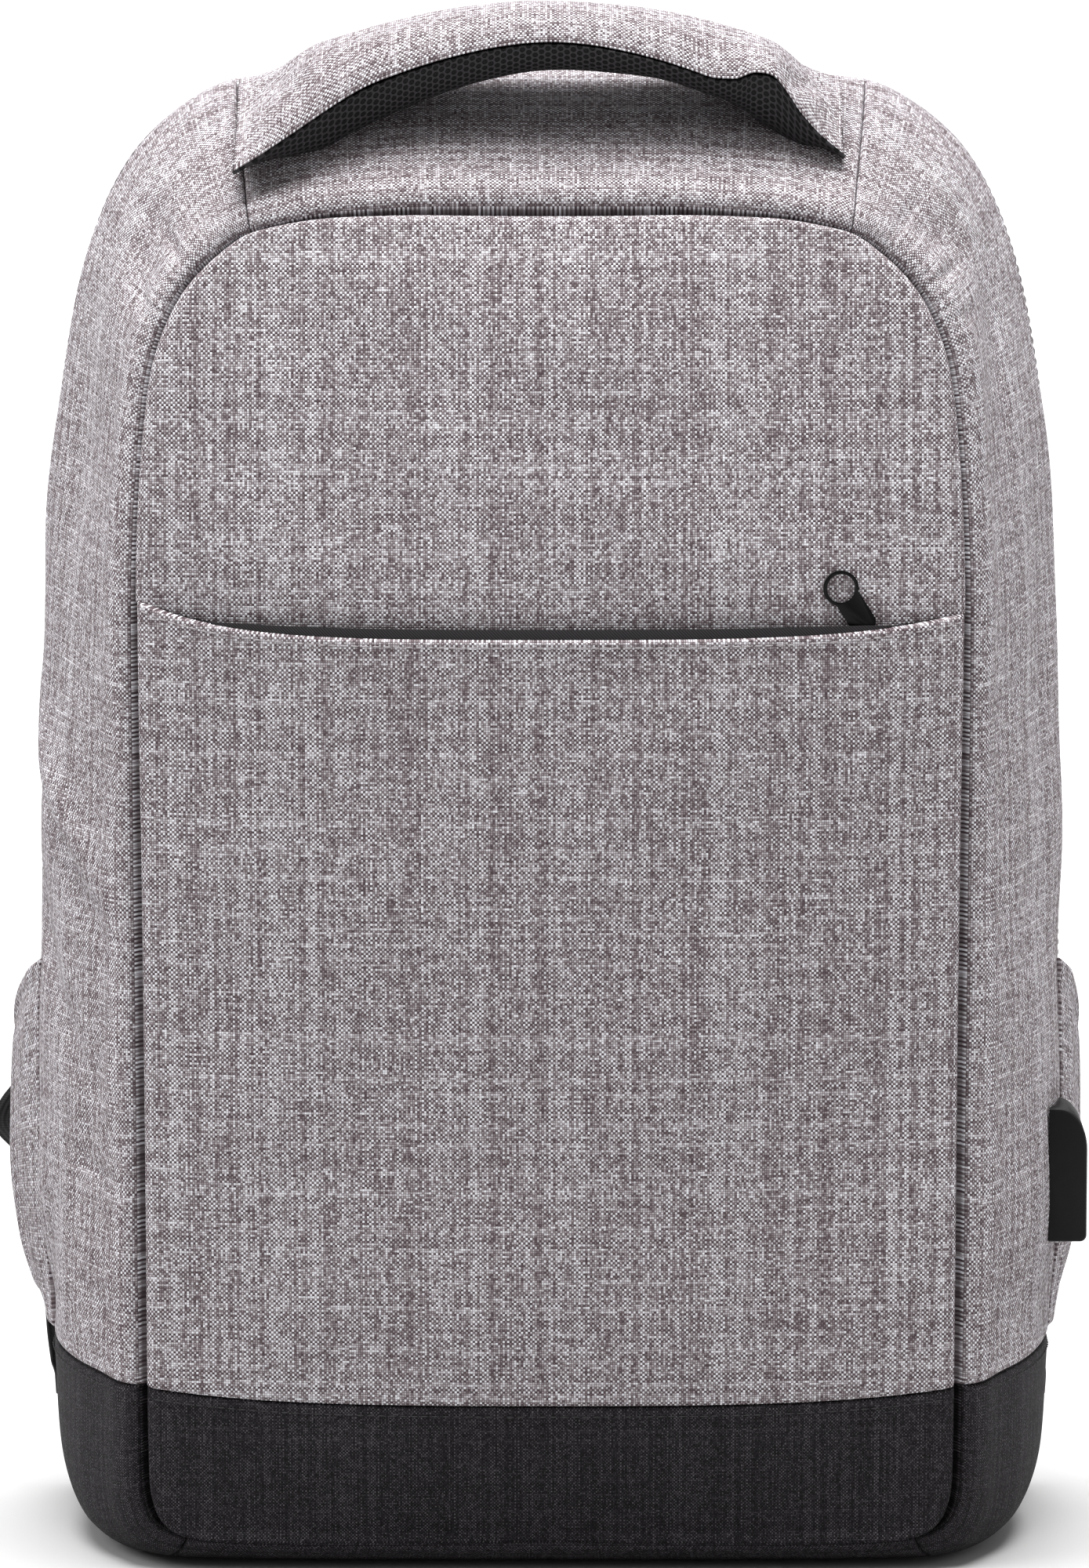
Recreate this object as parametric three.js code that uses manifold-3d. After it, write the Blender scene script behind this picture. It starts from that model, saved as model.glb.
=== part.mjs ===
// An anti theft backpack: a slim grey bag with a black base, a hidden front pocket zip and a main zip
// that faces the wearer's back. Millimetres, +Z up, the front faces -Y, the origin is under the middle
// of the flat base.
import * as THREE from "three";
import Module from "manifold-3d";
import { mergeVertices } from "three/addons/utils/BufferGeometryUtils.js";

const wasm = await Module();
wasm.setup();

// Driving sizes of the bag body
const bodyHeight = 430;
const halfWidth = 151;
const frontDepth = 58; // from the middle plane to the front seam
const rearSeamDepth = 40; // from the middle plane to the rear seam
const backEdgeDepth = 62; // from the middle plane to the edge of the back panel
const clothWall = 2;
const seamGap = 0.3;
const frontDome = 9; // how far the front panels swell past their seam
const slitSag = 7; // the pocket slit hangs lower in its middle
const bandSag = 4.5; // so does the top edge of the black band

// Front pocket and its zip
const pocketStand = 7; // the pocket hem stands this far in front of the panel above it
const pocketFlap = 15; // the upper panel reaches this far down behind the hem
const tapeRise = 3.4; // the zip tape shows this far above the hem
const tapeWall = 0.8;
const tapeHidden = 8; // and reaches this far down behind it
const tapeSpan = 0.8; // share of the slit where the tape shows
const flapSpan = 0.84; // share of the slit where the upper panel goes on behind the hem
const sliderPlace = 91.8; // from the middle to the pull's pivot
const sliderDrop = 3; // from the hem down to the pivot
const pullLean = THREE.MathUtils.degToRad(32.5);
const pullRing = 5.1; // outer radius of the ring at the end of the pull
const pullHole = 4.1;
const pullWidth = 7.5;
const pullWall = 1.3;
const pullReach = 17.5; // from the pivot to the ring's centre
const pullEye = 1.25; // outer radius of the eye round the pin
const eyeWidth = 4;
const pinRadius = 0.5;
const pinPlay = 0.2;
const pullClear = 0.3; // from the panel to the eye

// Handle
const handleSpan = 90; // half its length
const handleRise = 21; // its top above the body height
const handleWidth = 43;
const handleMiddle = 0.5; // its middle line in front of or behind the middle plane
const handleEdge = 1; // height of the sewn edge on each half

// Side pockets and the charging socket
const sidePocketHeight = 112;
const sidePocketSwell = 9;
const sidePocketWall = 1.5;
const socketHeight = 40;
const socketDepth = 21;
const socketStand = 8.6;
const socketBottom = 88;
const socketPlace = 1; // its middle, measured from the middle plane
const socketSlotWidth = 13.4;
const socketSlotHeight = 5.6;
const socketSlotDepth = 12;
const socketShellWall = 0.35;

// Back panel, main zip and straps
const rearRound = 6; // the rear gusset turns in this far
const rearCorner = 2.2; // a higher power keeps it flat for longer and turns it sharper
const zipTapeWidth = 9;
const backPad = 7; // thickness of the padded back
const padRelief = 3; // depth of the air channels
const strapWidth = 60;
const strapPad = 10;
const strapTilt = 0.12; // the straps turn out a little, as across : down
const webbingWidth = 25;
const webbingWall = 1.6;
const webbingStart = 8; // its first stretch goes on straight from the strap
const buckleWall = 3.2;
const buckleBar = 5;
const buckleSlot = 4;
const yokeHeight = 30; // the patch over the tops of the straps

// The body is described by stations along half of its outline, from the middle of the base up the side
// to the middle of the top. Widths are shares of halfWidth, heights of bodyHeight, the front line's
// depth of frontDepth. "turn" says how soon the gusset reaches its full width behind the front seam.
const stations = [
  { frontX: 0.0, frontZ: 0.02, frontY: 1.0, rearX: 0.0, rearZ: 0.0, turn: 9 },
  { frontX: 0.42, frontZ: 0.02, frontY: 0.995, rearX: 0.45, rearZ: 0.0, turn: 9 },
  { frontX: 0.69, frontZ: 0.023, frontY: 0.97, rearX: 0.75, rearZ: 0.0, turn: 9 },
  { frontX: 0.765, frontZ: 0.034, frontY: 0.95, rearX: 0.875, rearZ: 0.013, turn: 5 },
  { frontX: 0.788, frontZ: 0.065, frontY: 0.96, rearX: 0.945, rearZ: 0.055, turn: 3 },
  { frontX: 0.79, frontZ: 0.128, frontY: 0.99, rearX: 0.978, rearZ: 0.131, turn: 2.8 },
  { frontX: 0.791, frontZ: 0.25, frontY: 1.0, rearX: 1.0, rearZ: 0.25, turn: 2.6 },
  { frontX: 0.795, frontZ: 0.45, frontY: 1.0, rearX: 1.0, rearZ: 0.45, turn: 2.2 },
  { frontX: 0.8, frontZ: 0.6535, frontY: 1.0, rearX: 0.985, rearZ: 0.665, turn: 1.7 },
  { frontX: 0.777, frontZ: 0.8, frontY: 0.87, rearX: 0.94, rearZ: 0.815, turn: 1.4 },
  { frontX: 0.722, frontZ: 0.858, frontY: 0.79, rearX: 0.885, rearZ: 0.892, turn: 1.4 },
  { frontX: 0.64, frontZ: 0.889, frontY: 0.73, rearX: 0.785, rearZ: 0.953, turn: 1.5 },
  { frontX: 0.57, frontZ: 0.903, frontY: 0.7, rearX: 0.61, rearZ: 0.99, turn: 1.6 },
  { frontX: 0.4, frontZ: 0.916, frontY: 0.67, rearX: 0.42, rearZ: 0.995, turn: 1.7 },
  { frontX: 0.2, frontZ: 0.919, frontY: 0.655, rearX: 0.21, rearZ: 0.986, turn: 1.7 },
  { frontX: 0.0, frontZ: 0.919, frontY: 0.65, rearX: 0.0, rearZ: 0.982, turn: 1.7 },
];
const fullReach = 1.03; // the gusset is at its full width a little before the rear seam
const baseEnd = 2; // station where the base turns up into the side
const bandTop = 5; // station of the black band's top edge
const slit = 8; // station of the pocket slit
const crossSeam = 12; // station of the seam between side and top
const topMiddle = stations.length - 1;

// Dome of the front panels at those stations, as shares of frontDome
const domeRows = [
  { station: 2, dome: 0 },
  { station: 5, dome: 0.75 },
  { station: 7, dome: 1 },
  { station: 8, dome: 0.75 },
  { station: 10, dome: 0.45 },
  { station: 12, dome: 0 },
];

// Dents and folds of the gusset. "across" runs from the front seam (0) to the rear seam (1), "lean" is how
// far the fold moves across for each station up, length is in stations, width across, depth in clothWall.
const folds = [
  { side: -1, station: 6.75, across: 0.42, lean: -0.3, length: 0.6, width: 0.09, depth: -1.6 },
  { side: -1, station: 7.1, across: 0.62, lean: -0.25, length: 0.7, width: 0.12, depth: 1.2 },
  { side: -1, station: 10.2, across: 0.3, lean: 0.2, length: 0.7, width: 0.16, depth: 1.0 },
  { side: -1, station: 8.6, across: 0.55, lean: 0.1, length: 0.9, width: 0.2, depth: 0.9 },
  { side: 1, station: 10.6, across: 0.25, lean: -0.2, length: 0.5, width: 0.14, depth: 1.2 },
  { side: 1, station: 9.2, across: 0.4, lean: 0.15, length: 0.7, width: 0.16, depth: 0.9 },
  { side: 1, station: 7.4, across: 0.5, lean: 0.2, length: 1.0, width: 0.2, depth: 0.8 },
];

// Handle sections from its middle to its end: how deep the air mesh belly hangs below the sewn edge
const handleRows = [
  { along: 0.0, belly: 5.6 },
  { along: 0.2, belly: 8.8 },
  { along: 0.38, belly: 11 },
  { along: 0.55, belly: 12.6 },
  { along: 0.7, belly: 13.4 },
  { along: 0.82, belly: 10 },
  { along: 0.92, belly: 5 },
  { along: 1.0, belly: 2.5 },
];

// Middle line of a shoulder strap: across and up as shares of halfWidth and bodyHeight, back in mm past
// the padded back, and the width as a share of strapWidth.
const strapRows = [
  { across: 0.27, up: 0.895, back: 2.7, width: 0.9 },
  { across: 0.272, up: 0.905, back: 13, width: 0.92 },
  { across: 0.285, up: 0.905, back: 24, width: 0.96 },
  { across: 0.305, up: 0.888, back: 33, width: 1 },
  { across: 0.34, up: 0.855, back: 38, width: 1 },
  { across: 0.41, up: 0.79, back: 40, width: 1 },
  { across: 0.51, up: 0.69, back: 39, width: 1 },
  { across: 0.61, up: 0.59, back: 36, width: 1 },
  { across: 0.71, up: 0.5, back: 32, width: 0.93 },
  { across: 0.79, up: 0.43, back: 28, width: 0.78 },
  { across: 0.835, up: 0.385, back: 25, width: 0.58 },
];
// The webbing from the strap's end to the base corner, in the same shares. The left one bows further out.
const webbingRows = [
  { across: 0.86, up: 0.348, back: 23 },
  { across: 0.935, up: 0.285, back: 20 },
  { across: 0.985, up: 0.25, back: 17 },
  { across: 0.985, up: 0.2, back: 12 },
  { across: 0.98, up: 0.16, back: 6 },
];
const leftBow = 0.03; // of halfWidth

const vec = (x, y, z) => new THREE.Vector3(x, y, z);
const mix = (a, b, share) => a + (b - a) * share;
const clamp = (x, low, high) => Math.min(high, Math.max(low, x));

// A cubic through equally spaced values that never overshoots them. A value that is mirrored at the ends,
// such as a width, keeps its slope there, and a height is level.
function smooth(values, mirrored) {
  const last = values.length - 1;
  const slopes = values.map((value, i) => {
    if (i === 0 || i === last) {
      return mirrored ? (i ? value - values[i - 1] : values[1] - value) : 0;
    }
    const before = value - values[i - 1];
    const after = values[i + 1] - value;
    return before * after <= 0 ? 0 : (2 * before * after) / (before + after);
  });
  return (x) => {
    const i = clamp(Math.floor(x), 0, last - 1);
    const t = clamp(x - i, 0, 1);
    const s = 1 - t;
    return (
      s * s * (1 + 2 * t) * values[i] +
      t * t * (3 - 2 * t) * values[i + 1] +
      t * s * s * slopes[i] -
      t * t * s * slopes[i + 1]
    );
  };
}

// The same through rows with places of their own
function smoothRows(rows, place, key) {
  const at = smooth(rows.map((row) => row[key]), false);
  return (x) => {
    let i = 0;
    while (i < rows.length - 2 && x > rows[i + 1][place]) i += 1;
    return at(i + clamp((x - rows[i][place]) / (rows[i + 1][place] - rows[i][place]), 0, 1));
  };
}

const column = (key, mirrored) => smooth(stations.map((row) => row[key]), mirrored);
const frontX = column("frontX", true);
const frontZ = column("frontZ", false);
const frontY = column("frontY", false);
const rearX = column("rearX", true);
const rearZ = column("rearZ", false);
const turn = column("turn", false);
const domeAt = smoothRows(domeRows, "station", "dome");

// A point of the front seam. A negative place is on the left of the bag.
function frontSeam(place) {
  const s = Math.abs(place);
  const side = place < 0 ? -1 : 1;
  return vec(side * frontX(s) * halfWidth, -frontY(s) * frontDepth, frontZ(s) * bodyHeight);
}

// A point of the rear seam line, moved in towards the middle of the bag by "inward"
function rearLine(place, inward = 0) {
  const s = Math.abs(place);
  const side = place < 0 ? -1 : 1;
  const point = vec(rearX(s) * halfWidth, rearSeamDepth, rearZ(s) * bodyHeight);
  const step = 0.05;
  const ahead = Math.min(s + step, topMiddle);
  const behind = Math.max(s - step, 0);
  const run = vec(
    (rearX(ahead) - rearX(behind)) * halfWidth,
    0,
    (rearZ(ahead) - rearZ(behind)) * bodyHeight,
  ).normalize();
  if (s < step) run.set(1, 0, 0);
  if (s > topMiddle - step) run.set(-1, 0, 0);
  point.x = side * (point.x - run.z * inward);
  point.z += run.x * inward;
  return point;
}

function foldDepth(place, across) {
  const s = Math.abs(place);
  const side = place < 0 ? -1 : 1;
  return folds.reduce((sum, fold) => {
    if (fold.side !== side) return sum;
    const up = s - fold.station;
    const aside = across - fold.across - fold.lean * up;
    const fade = Math.exp(-((up / fold.length) ** 2) - (aside / fold.width) ** 2);
    return sum + fold.depth * fade;
  }, 0);
}

// The gusset's outer face. across 0 is the front seam, 1 the rear seam, 2 the edge at the back panel.
function gussetBase(place, across) {
  if (across > 1) {
    const share = across - 1;
    const inward = rearRound * (1 - Math.cos((share * Math.PI) / 2)) ** rearCorner;
    const point = rearLine(place, inward);
    point.y = mix(rearSeamDepth, backEdgeDepth, Math.sin((share * Math.PI) / 2));
    return point;
  }
  const front = frontSeam(place);
  const rear = rearLine(place);
  const reach = Math.min(1, fullReach * (1 - (1 - across) ** turn(Math.abs(place))));
  return vec(mix(front.x, rear.x, reach), mix(front.y, rear.y, across), mix(front.z, rear.z, reach));
}

function gussetNormal(place, across) {
  const step = 0.02;
  const low = Math.max(across - step, 0);
  const high = Math.min(across + step, 2);
  const run = gussetBase(place, high).sub(gussetBase(place, low));
  const along = gussetBase(place + step, across).sub(gussetBase(place - step, across));
  if (Math.abs(place) > topMiddle - step) {
    along.subVectors(gussetBase(step - topMiddle, across), gussetBase(topMiddle - step, across));
  }
  return run.cross(along).normalize();
}

function gusset(place, across, outward = 0) {
  const normal = gussetNormal(place, across);
  const depth = across <= 1 ? foldDepth(place, across) * clothWall * Math.sin(Math.PI * across) : 0;
  return gussetBase(place, across).addScaledVector(normal, outward - depth);
}

// The station of a rail whose height or half width has a given value, by halving
function solve(at, wanted, low, high) {
  const rising = at(high) > at(low);
  for (let i = 0; i < 30; i += 1) {
    const middle = (low + high) / 2;
    if (at(middle) < wanted === rising) low = middle;
    else high = middle;
  }
  return (low + high) / 2;
}

// Height of the bag's top at a place across and back, for what lies on it
function topHeight(x, y) {
  const share = (s) => (y + frontY(s) * frontDepth) / (rearSeamDepth + frontY(s) * frontDepth);
  const at = (s) => gussetBase(s, clamp(share(s), 0, 1)).x;
  const s = solve(at, Math.abs(x), slit, topMiddle);
  return gussetBase(s, clamp(share(s), 0, 1)).z;
}

// Solids are made from grids of points. Triangles are turned to face out by the sign of the volume.
function solidFrom(triangles) {
  let volume = 0;
  for (let i = 0; i < triangles.length; i += 3) {
    volume += triangles[i].dot(triangles[i + 1].clone().cross(triangles[i + 2]));
  }
  const ordered = volume < 0 ? triangles.slice().reverse() : triangles;
  const positions = new Float32Array(ordered.length * 3);
  ordered.forEach((point, i) => point.toArray(positions, i * 3));
  return new THREE.BufferGeometry().setAttribute("position", new THREE.BufferAttribute(positions, 3));
}

const quad = (list, a, b, c, d) => list.push(a, b, c, a, c, d);

// The closed wall between an outer and an inner grid of equal size
function wall(outer, inner, closed = false) {
  const rows = outer.length;
  const last = outer[0].length - 1;
  const list = [];
  for (let i = 0; i < (closed ? rows : rows - 1); i += 1) {
    const k = (i + 1) % rows;
    for (let j = 0; j < last; j += 1) {
      quad(list, outer[i][j], outer[k][j], outer[k][j + 1], outer[i][j + 1]);
      quad(list, inner[k][j + 1], inner[k][j], inner[i][j], inner[i][j + 1]);
    }
    quad(list, outer[k][0], outer[i][0], inner[i][0], inner[k][0]);
    quad(list, outer[i][last], outer[k][last], inner[k][last], inner[i][last]);
  }
  for (let j = 0; j < last && !closed; j += 1) {
    quad(list, outer[0][j], outer[0][j + 1], inner[0][j + 1], inner[0][j]);
    quad(list, outer[rows - 1][j + 1], outer[rows - 1][j], inner[rows - 1][j], inner[rows - 1][j + 1]);
  }
  return solidFrom(list);
}

// A solid through rings of equally many points, closed at both ends by a fan
function loft(rings) {
  const list = [];
  const count = rings[0].length;
  for (let i = 0; i < rings.length - 1; i += 1) {
    for (let j = 0; j < count; j += 1) {
      const k = (j + 1) % count;
      quad(list, rings[i][j], rings[i][k], rings[i + 1][k], rings[i + 1][j]);
    }
  }
  const cap = (ring, turned) => {
    const middle = ring.reduce((sum, p) => sum.add(p), vec(0, 0, 0)).divideScalar(count);
    for (let j = 0; j < count; j += 1) {
      const next = ring[(j + 1) % count];
      if (turned) list.push(middle, ring[j], next);
      else list.push(middle, next, ring[j]);
    }
  };
  cap(rings[0], false);
  cap(rings[rings.length - 1], true);
  return solidFrom(list);
}

// Moves the border points of a grid in along its lines, so that sewn panels stay a gap apart
function inset(grid, gap, sides = { start: 1, end: 1, low: 1, high: 1 }) {
  const rows = grid.length;
  const last = grid[0].length - 1;
  const pull = (from, to, share) => from.add(to.clone().sub(from).setLength(gap * share));
  grid.forEach((line) => {
    if (sides.low) pull(line[0], line[1], sides.low);
    if (sides.high) pull(line[last], line[last - 1], sides.high);
  });
  for (let j = 0; j <= last; j += 1) {
    if (sides.start) pull(grid[0][j], grid[1][j], sides.start);
    if (sides.end) pull(grid[rows - 1][j], grid[rows - 2][j], sides.end);
  }
  return grid;
}

const grid = (us, vs, point) => us.map((u) => vs.map((v) => point(u, v)));

// Evenly spaced places between two values, with the ends
const spread = (low, high, count) => Array.from({ length: count + 1 }, (_, i) => mix(low, high, i / count));

// The direction from a seam to its inner line, where two walls of the same thickness meet
function mitre(first, second) {
  const sum = first.clone().add(second);
  return sum.multiplyScalar(-2 / sum.lengthSq());
}

// Panels
// Places across the front and back panels: they follow the points of the top seam, so that panels that
// share a seam share its corners.
const topSteps = [0, 0.5, 1, 1.5, 2, 2.5, 3];
const topPlaces = topSteps.map((step) => crossSeam + step);
const acrossHalf = topPlaces.map((s) => frontX(s) / frontX(crossSeam));
const acrossPlaces = [...acrossHalf.map((a) => -a), ...acrossHalf.slice(0, -1).reverse()];
const seamPlaces = topPlaces.map((s) => -s).concat(topPlaces.slice(0, -1).reverse());

// Height and depth of a panel inside a closed rail. Its low and high rows follow the rail, rows between run
// across the bag, and "rail" gives x, y and z at a station.
function panelPoint(rail, a, s, sag, dome) {
  const edge = rail(s);
  const low = rail(solve((p) => rail(p).x, Math.abs(a) * rail(baseEnd).x, 0, baseEnd));
  const high = rail(solve((p) => rail(p).x, Math.abs(a) * rail(crossSeam).x, crossSeam, topMiddle));
  const lowShare = clamp((bandTop - s) / (bandTop - baseEnd), 0, 1) ** 2;
  const highShare = clamp((s - bandTop - baseEnd) / (crossSeam - bandTop - baseEnd), 0, 1) ** 2;
  const lowRow = rail(baseEnd);
  const highRow = rail(crossSeam);
  const bow = 1 - a * a;
  const hang = 1 - a ** 4;
  return vec(
    a * edge.x,
    edge.y + (low.y - lowRow.y) * lowShare + (high.y - highRow.y) * highShare - dome * bow,
    edge.z + (low.z - lowRow.z) * lowShare + (high.z - highRow.z) * highShare - sag * hang,
  );
}

const sagRows = [
  { station: 2, sag: 0 },
  { station: 5, sag: bandSag },
  { station: 6.5, sag: bandSag },
  { station: 8, sag: slitSag },
  { station: 10, sag: slitSag / 2 },
  { station: 12, sag: 0 },
];
const sagAt = smoothRows(sagRows, "station", "sag");

// The front's outer face. "stand" pushes the pocket forward from the panel above it.
function front(a, s, stand = 0) {
  const point = panelPoint(frontSeam, a, s, sagAt(s), domeAt(s) * frontDome);
  point.y -= stand * (1 - a ** 10);
  return point;
}

const inwards = vec(0, 1, 0);
function frontInner(point, a, s) {
  if (Math.abs(a) < 1) return point.clone().addScaledVector(inwards, clothWall);
  const normal = gussetNormal(a * s, 0);
  return point.clone().addScaledVector(mitre(vec(0, -1, 0), normal), clothWall);
}

function frontPanel(rows, stand) {
  const make = (inner) =>
    grid(rows, acrossPlaces, (s, a) => {
      const point = front(a, s, stand(s));
      if (!inner) return point;
      const onRail = s === baseEnd || s === crossSeam;
      if (onRail && Math.abs(a) < 1) {
        const rail = s === baseEnd ? [0, baseEnd] : [crossSeam, topMiddle];
        const place = solve((p) => frontSeam(p).x, Math.abs(point.x), rail[0], rail[1]);
        const normal = gussetNormal(place * Math.sign(a || 1), 0);
        return point.addScaledVector(mitre(vec(0, -1, 0), normal), clothWall);
      }
      return frontInner(point, a, s);
    });
  return wall(inset(make(false), seamGap / 2), inset(make(true), seamGap / 2));
}

const bandRows = [2, 2.5, 3, 3.5, 4, 5];
const pocketRows = [5, 5.5, 6, 6.5, 7, 7.5, 7.85, 8];
const upperRows = [8, 8.5, 9, 9.5, 10, 10.5, 11, 11.5, 12];
const pocketStandAt = (s) => pocketStand * clamp((s - 6) / (slit - 6), 0, 1) ** 1.5;

const frontBand = () => frontPanel(bandRows, () => 0);
const pocketPanel = () => frontPanel(pocketRows, pocketStandAt);
const upperPanel = () => frontPanel(upperRows, () => 0);

// Strips that follow the slit from one height above the hem line to another, with a wall that goes back
function slitStrip(low, high, span, face, thickness) {
  const inside = acrossPlaces.filter((a) => Math.abs(a) < span - 0.02);
  const places = [-span, ...inside, span];
  const at = (extra) =>
    grid(places, [low, high], (a, rise) => {
      const point = face(a, rise(a));
      point.y += extra;
      return point;
    });
  return wall(at(0), at(thickness));
}
const stationRise = (frontZ(slit) - frontZ(slit - 0.1)) * 10 * bodyHeight;
function behindHem(a, rise) {
  const s = slit + Math.min(rise, 0) / stationRise;
  const point = front(a, s, pocketStandAt(s));
  point.y += clothWall + 2 * seamGap;
  point.z += Math.max(rise, 0);
  return point;
}
function belowPanel(a, rise) {
  const point = front(a, slit);
  point.z += rise;
  return point;
}
const tapeTop = (a) => tapeRise * (1 - (a / tapeSpan) ** 6) + tapeWall;
const lowerTape = () => slitStrip(() => -tapeHidden, tapeTop, tapeSpan, behindHem, tapeWall);
const flapTop = -5 * seamGap; // the panel's own edge hangs a little below the hem line between two points
const upperTape = () => slitStrip(() => -pocketFlap, () => flapTop, flapSpan, belowPanel, clothWall);

// Gusset pieces. The places along each follow the front panels' rows, so that the corners match.
const sidePlaces = [5, 5.5, 6, 6.5, 7, 7.5, 7.85, 8, 8.5, 9, 9.5, 10, 10.5, 11, 11.5, 12];
const cornerPlaces = bandRows;
const basePlaces = acrossHalf.map((a) => solve((p) => frontX(p), a * frontX(baseEnd), 0, baseEnd));
const baseLine = [...basePlaces.map((s) => -s), ...basePlaces.slice(0, -1).reverse()];
const gussetSteps = [0, 0.06, 0.16, 0.34, 0.56, 0.78, 1];
const rearSteps = [1, 1.35, 1.7, 2];

function gussetPiece(places, steps, closed = false, sides = { start: 1, end: 1, low: 1, high: 1 }) {
  const edges = closed ? { low: 1, high: 1 } : sides;
  const make = (inner) =>
    grid(places, steps, (place, across) => {
      const point = gusset(place, across);
      if (!inner) return point;
      const normal = gussetNormal(place, across);
      if (across === 0) return point.addScaledVector(mitre(vec(0, -1, 0), normal), clothWall);
      return point.addScaledVector(normal, -clothWall);
    });
  const outer = inset(make(false), seamGap / 2, edges);
  const within = inset(make(true), seamGap / 2, edges);
  return wall(outer, within, closed);
}
const onSide = (places, side) => places.map((s) => side * s).sort((a, b) => a - b);
const sideGusset = (side) => gussetPiece(onSide(sidePlaces, side), gussetSteps);
const cornerGusset = (side) => gussetPiece(onSide(cornerPlaces, side), gussetSteps);
const topGusset = () => gussetPiece(seamPlaces, gussetSteps);
const baseGusset = () => gussetPiece(baseLine, gussetSteps, false, { start: 2, end: 2, low: 1, high: 1 });

const wholeLoop = [
  ...baseLine.slice(0, -1),
  ...cornerPlaces.slice(0, -1),
  ...sidePlaces.slice(0, -1),
  ...topPlaces,
  ...topPlaces.slice(0, -1).reverse().map((s) => -s),
  ...sidePlaces.slice(0, -1).reverse().map((s) => -s),
  ...cornerPlaces.slice(1, -1).reverse().map((s) => -s),
];
const rearGusset = () => gussetPiece(wholeLoop, rearSteps, true);

// A solid of three.js as one of the boolean library's, and back
function toSolid(geometry) {
  const bare = geometry.index ? geometry.toNonIndexed() : geometry.clone();
  bare.deleteAttribute("normal");
  bare.deleteAttribute("uv");
  const merged = mergeVertices(bare, 1e-3);
  return new wasm.Manifold(
    new wasm.Mesh({
      numProp: 3,
      vertProperties: new Float32Array(merged.attributes.position.array),
      triVerts: new Uint32Array(merged.index.array),
    }),
  );
}
function fromSolid(solid) {
  const mesh = solid.getMesh();
  const positions = new Float32Array(mesh.triVerts.length * 3);
  mesh.triVerts.forEach((vertex, i) => {
    const at = vertex * mesh.numProp;
    positions.set(mesh.vertProperties.subarray(at, at + 3), i * 3);
  });
  return new THREE.BufferGeometry().setAttribute("position", new THREE.BufferAttribute(positions, 3));
}
const box = (x, y, z, at) => new THREE.BoxGeometry(x, y, z).translate(at.x, at.y, at.z);

// The whole outside of the bag, a clearance larger, for cutting what sits on it
function envelope(clearance) {
  const steps = [...gussetSteps, ...rearSteps.slice(1)];
  return loft(steps.map((across) => wholeLoop.map((place) => gusset(place, across, clearance))));
}

const bodyEnvelope = toSolid(envelope(2 * seamGap));
const cutBy = (geometry, cutter) => fromSolid(toSolid(geometry).subtract(cutter));

// Pocket zip: slider with a pin, and a pull that turns on it
const slitAcross = sliderPlace / frontSeam(slit).x;
function pivotFrame() {
  const origin = front(slitAcross, slit);
  const step = 0.02;
  const run = front(slitAcross + step, slit).sub(front(slitAcross - step, slit));
  const rise = front(slitAcross, slit + 2 * step).sub(origin);
  const out = run.cross(rise).normalize();
  const up = vec(-Math.sin(pullLean), 0, Math.cos(pullLean));
  up.addScaledVector(out, -up.dot(out)).normalize();
  const pin = out.clone().cross(up).negate();
  const pivot = origin.clone().addScaledVector(out, pullClear + pullEye);
  pivot.z -= sliderDrop;
  return new THREE.Matrix4().makeBasis(pin, up, out).setPosition(pivot);
}
const frame = pivotFrame();

// In the pull's own frame: x along the pin, y along the pull, z away from the bag
function barAlongPin(radius, length, sides = 16) {
  return new THREE.CylinderGeometry(radius, radius, length, sides).rotateZ(Math.PI / 2);
}
function pullSolid() {
  const outline = new THREE.Shape();
  const neck = eyeWidth / 2;
  const half = pullWidth / 2;
  const shoulder = pullReach - Math.sqrt(pullRing ** 2 - half ** 2);
  outline.moveTo(-neck, 0);
  outline.lineTo(neck, 0);
  outline.lineTo(neck, 2 * pullEye);
  outline.lineTo(half, 4 * pullEye);
  outline.lineTo(half, shoulder);
  const from = Math.atan2(shoulder - pullReach, half);
  outline.absarc(0, pullReach, pullRing, from, Math.PI - from, false);
  outline.lineTo(-half, 4 * pullEye);
  outline.lineTo(-neck, 2 * pullEye);
  outline.holes.push(new THREE.Path().absarc(0, pullReach, pullHole, 0, 2 * Math.PI, true));
  const style = { depth: pullWall, bevelEnabled: false, curveSegments: 12 };
  const plate = new THREE.ExtrudeGeometry(outline, style);
  plate.translate(0, 0, -pullEye);
  const eye = barAlongPin(pullEye, eyeWidth);
  const hole = barAlongPin(pinRadius + pinPlay, eyeWidth + 2);
  return fromSolid(toSolid(plate).add(toSolid(eye)).subtract(toSolid(hole))).applyMatrix4(frame);
}
function sliderSolid() {
  const lug = 1.2;
  const reach = eyeWidth / 2 + seamGap + lug;
  const bodyHigh = 6;
  const bodyWall = 1.4;
  const drop = pullEye + 2 * seamGap;
  const pin = toSolid(barAlongPin(pinRadius, 2 * reach - lug));
  let solid = pin;
  for (const side of [-1, 1]) {
    const at = vec(side * (reach - lug / 2), -drop / 2, 0);
    solid = solid.add(toSolid(box(lug, drop + lug, 2 * pullEye - 2 * seamGap, at)));
  }
  const body = box(2 * reach, bodyHigh, bodyWall, vec(0, -drop - bodyHigh / 2, bodyWall / 2 - pullEye));
  return fromSolid(solid.add(toSolid(body))).applyMatrix4(frame);
}

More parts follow.
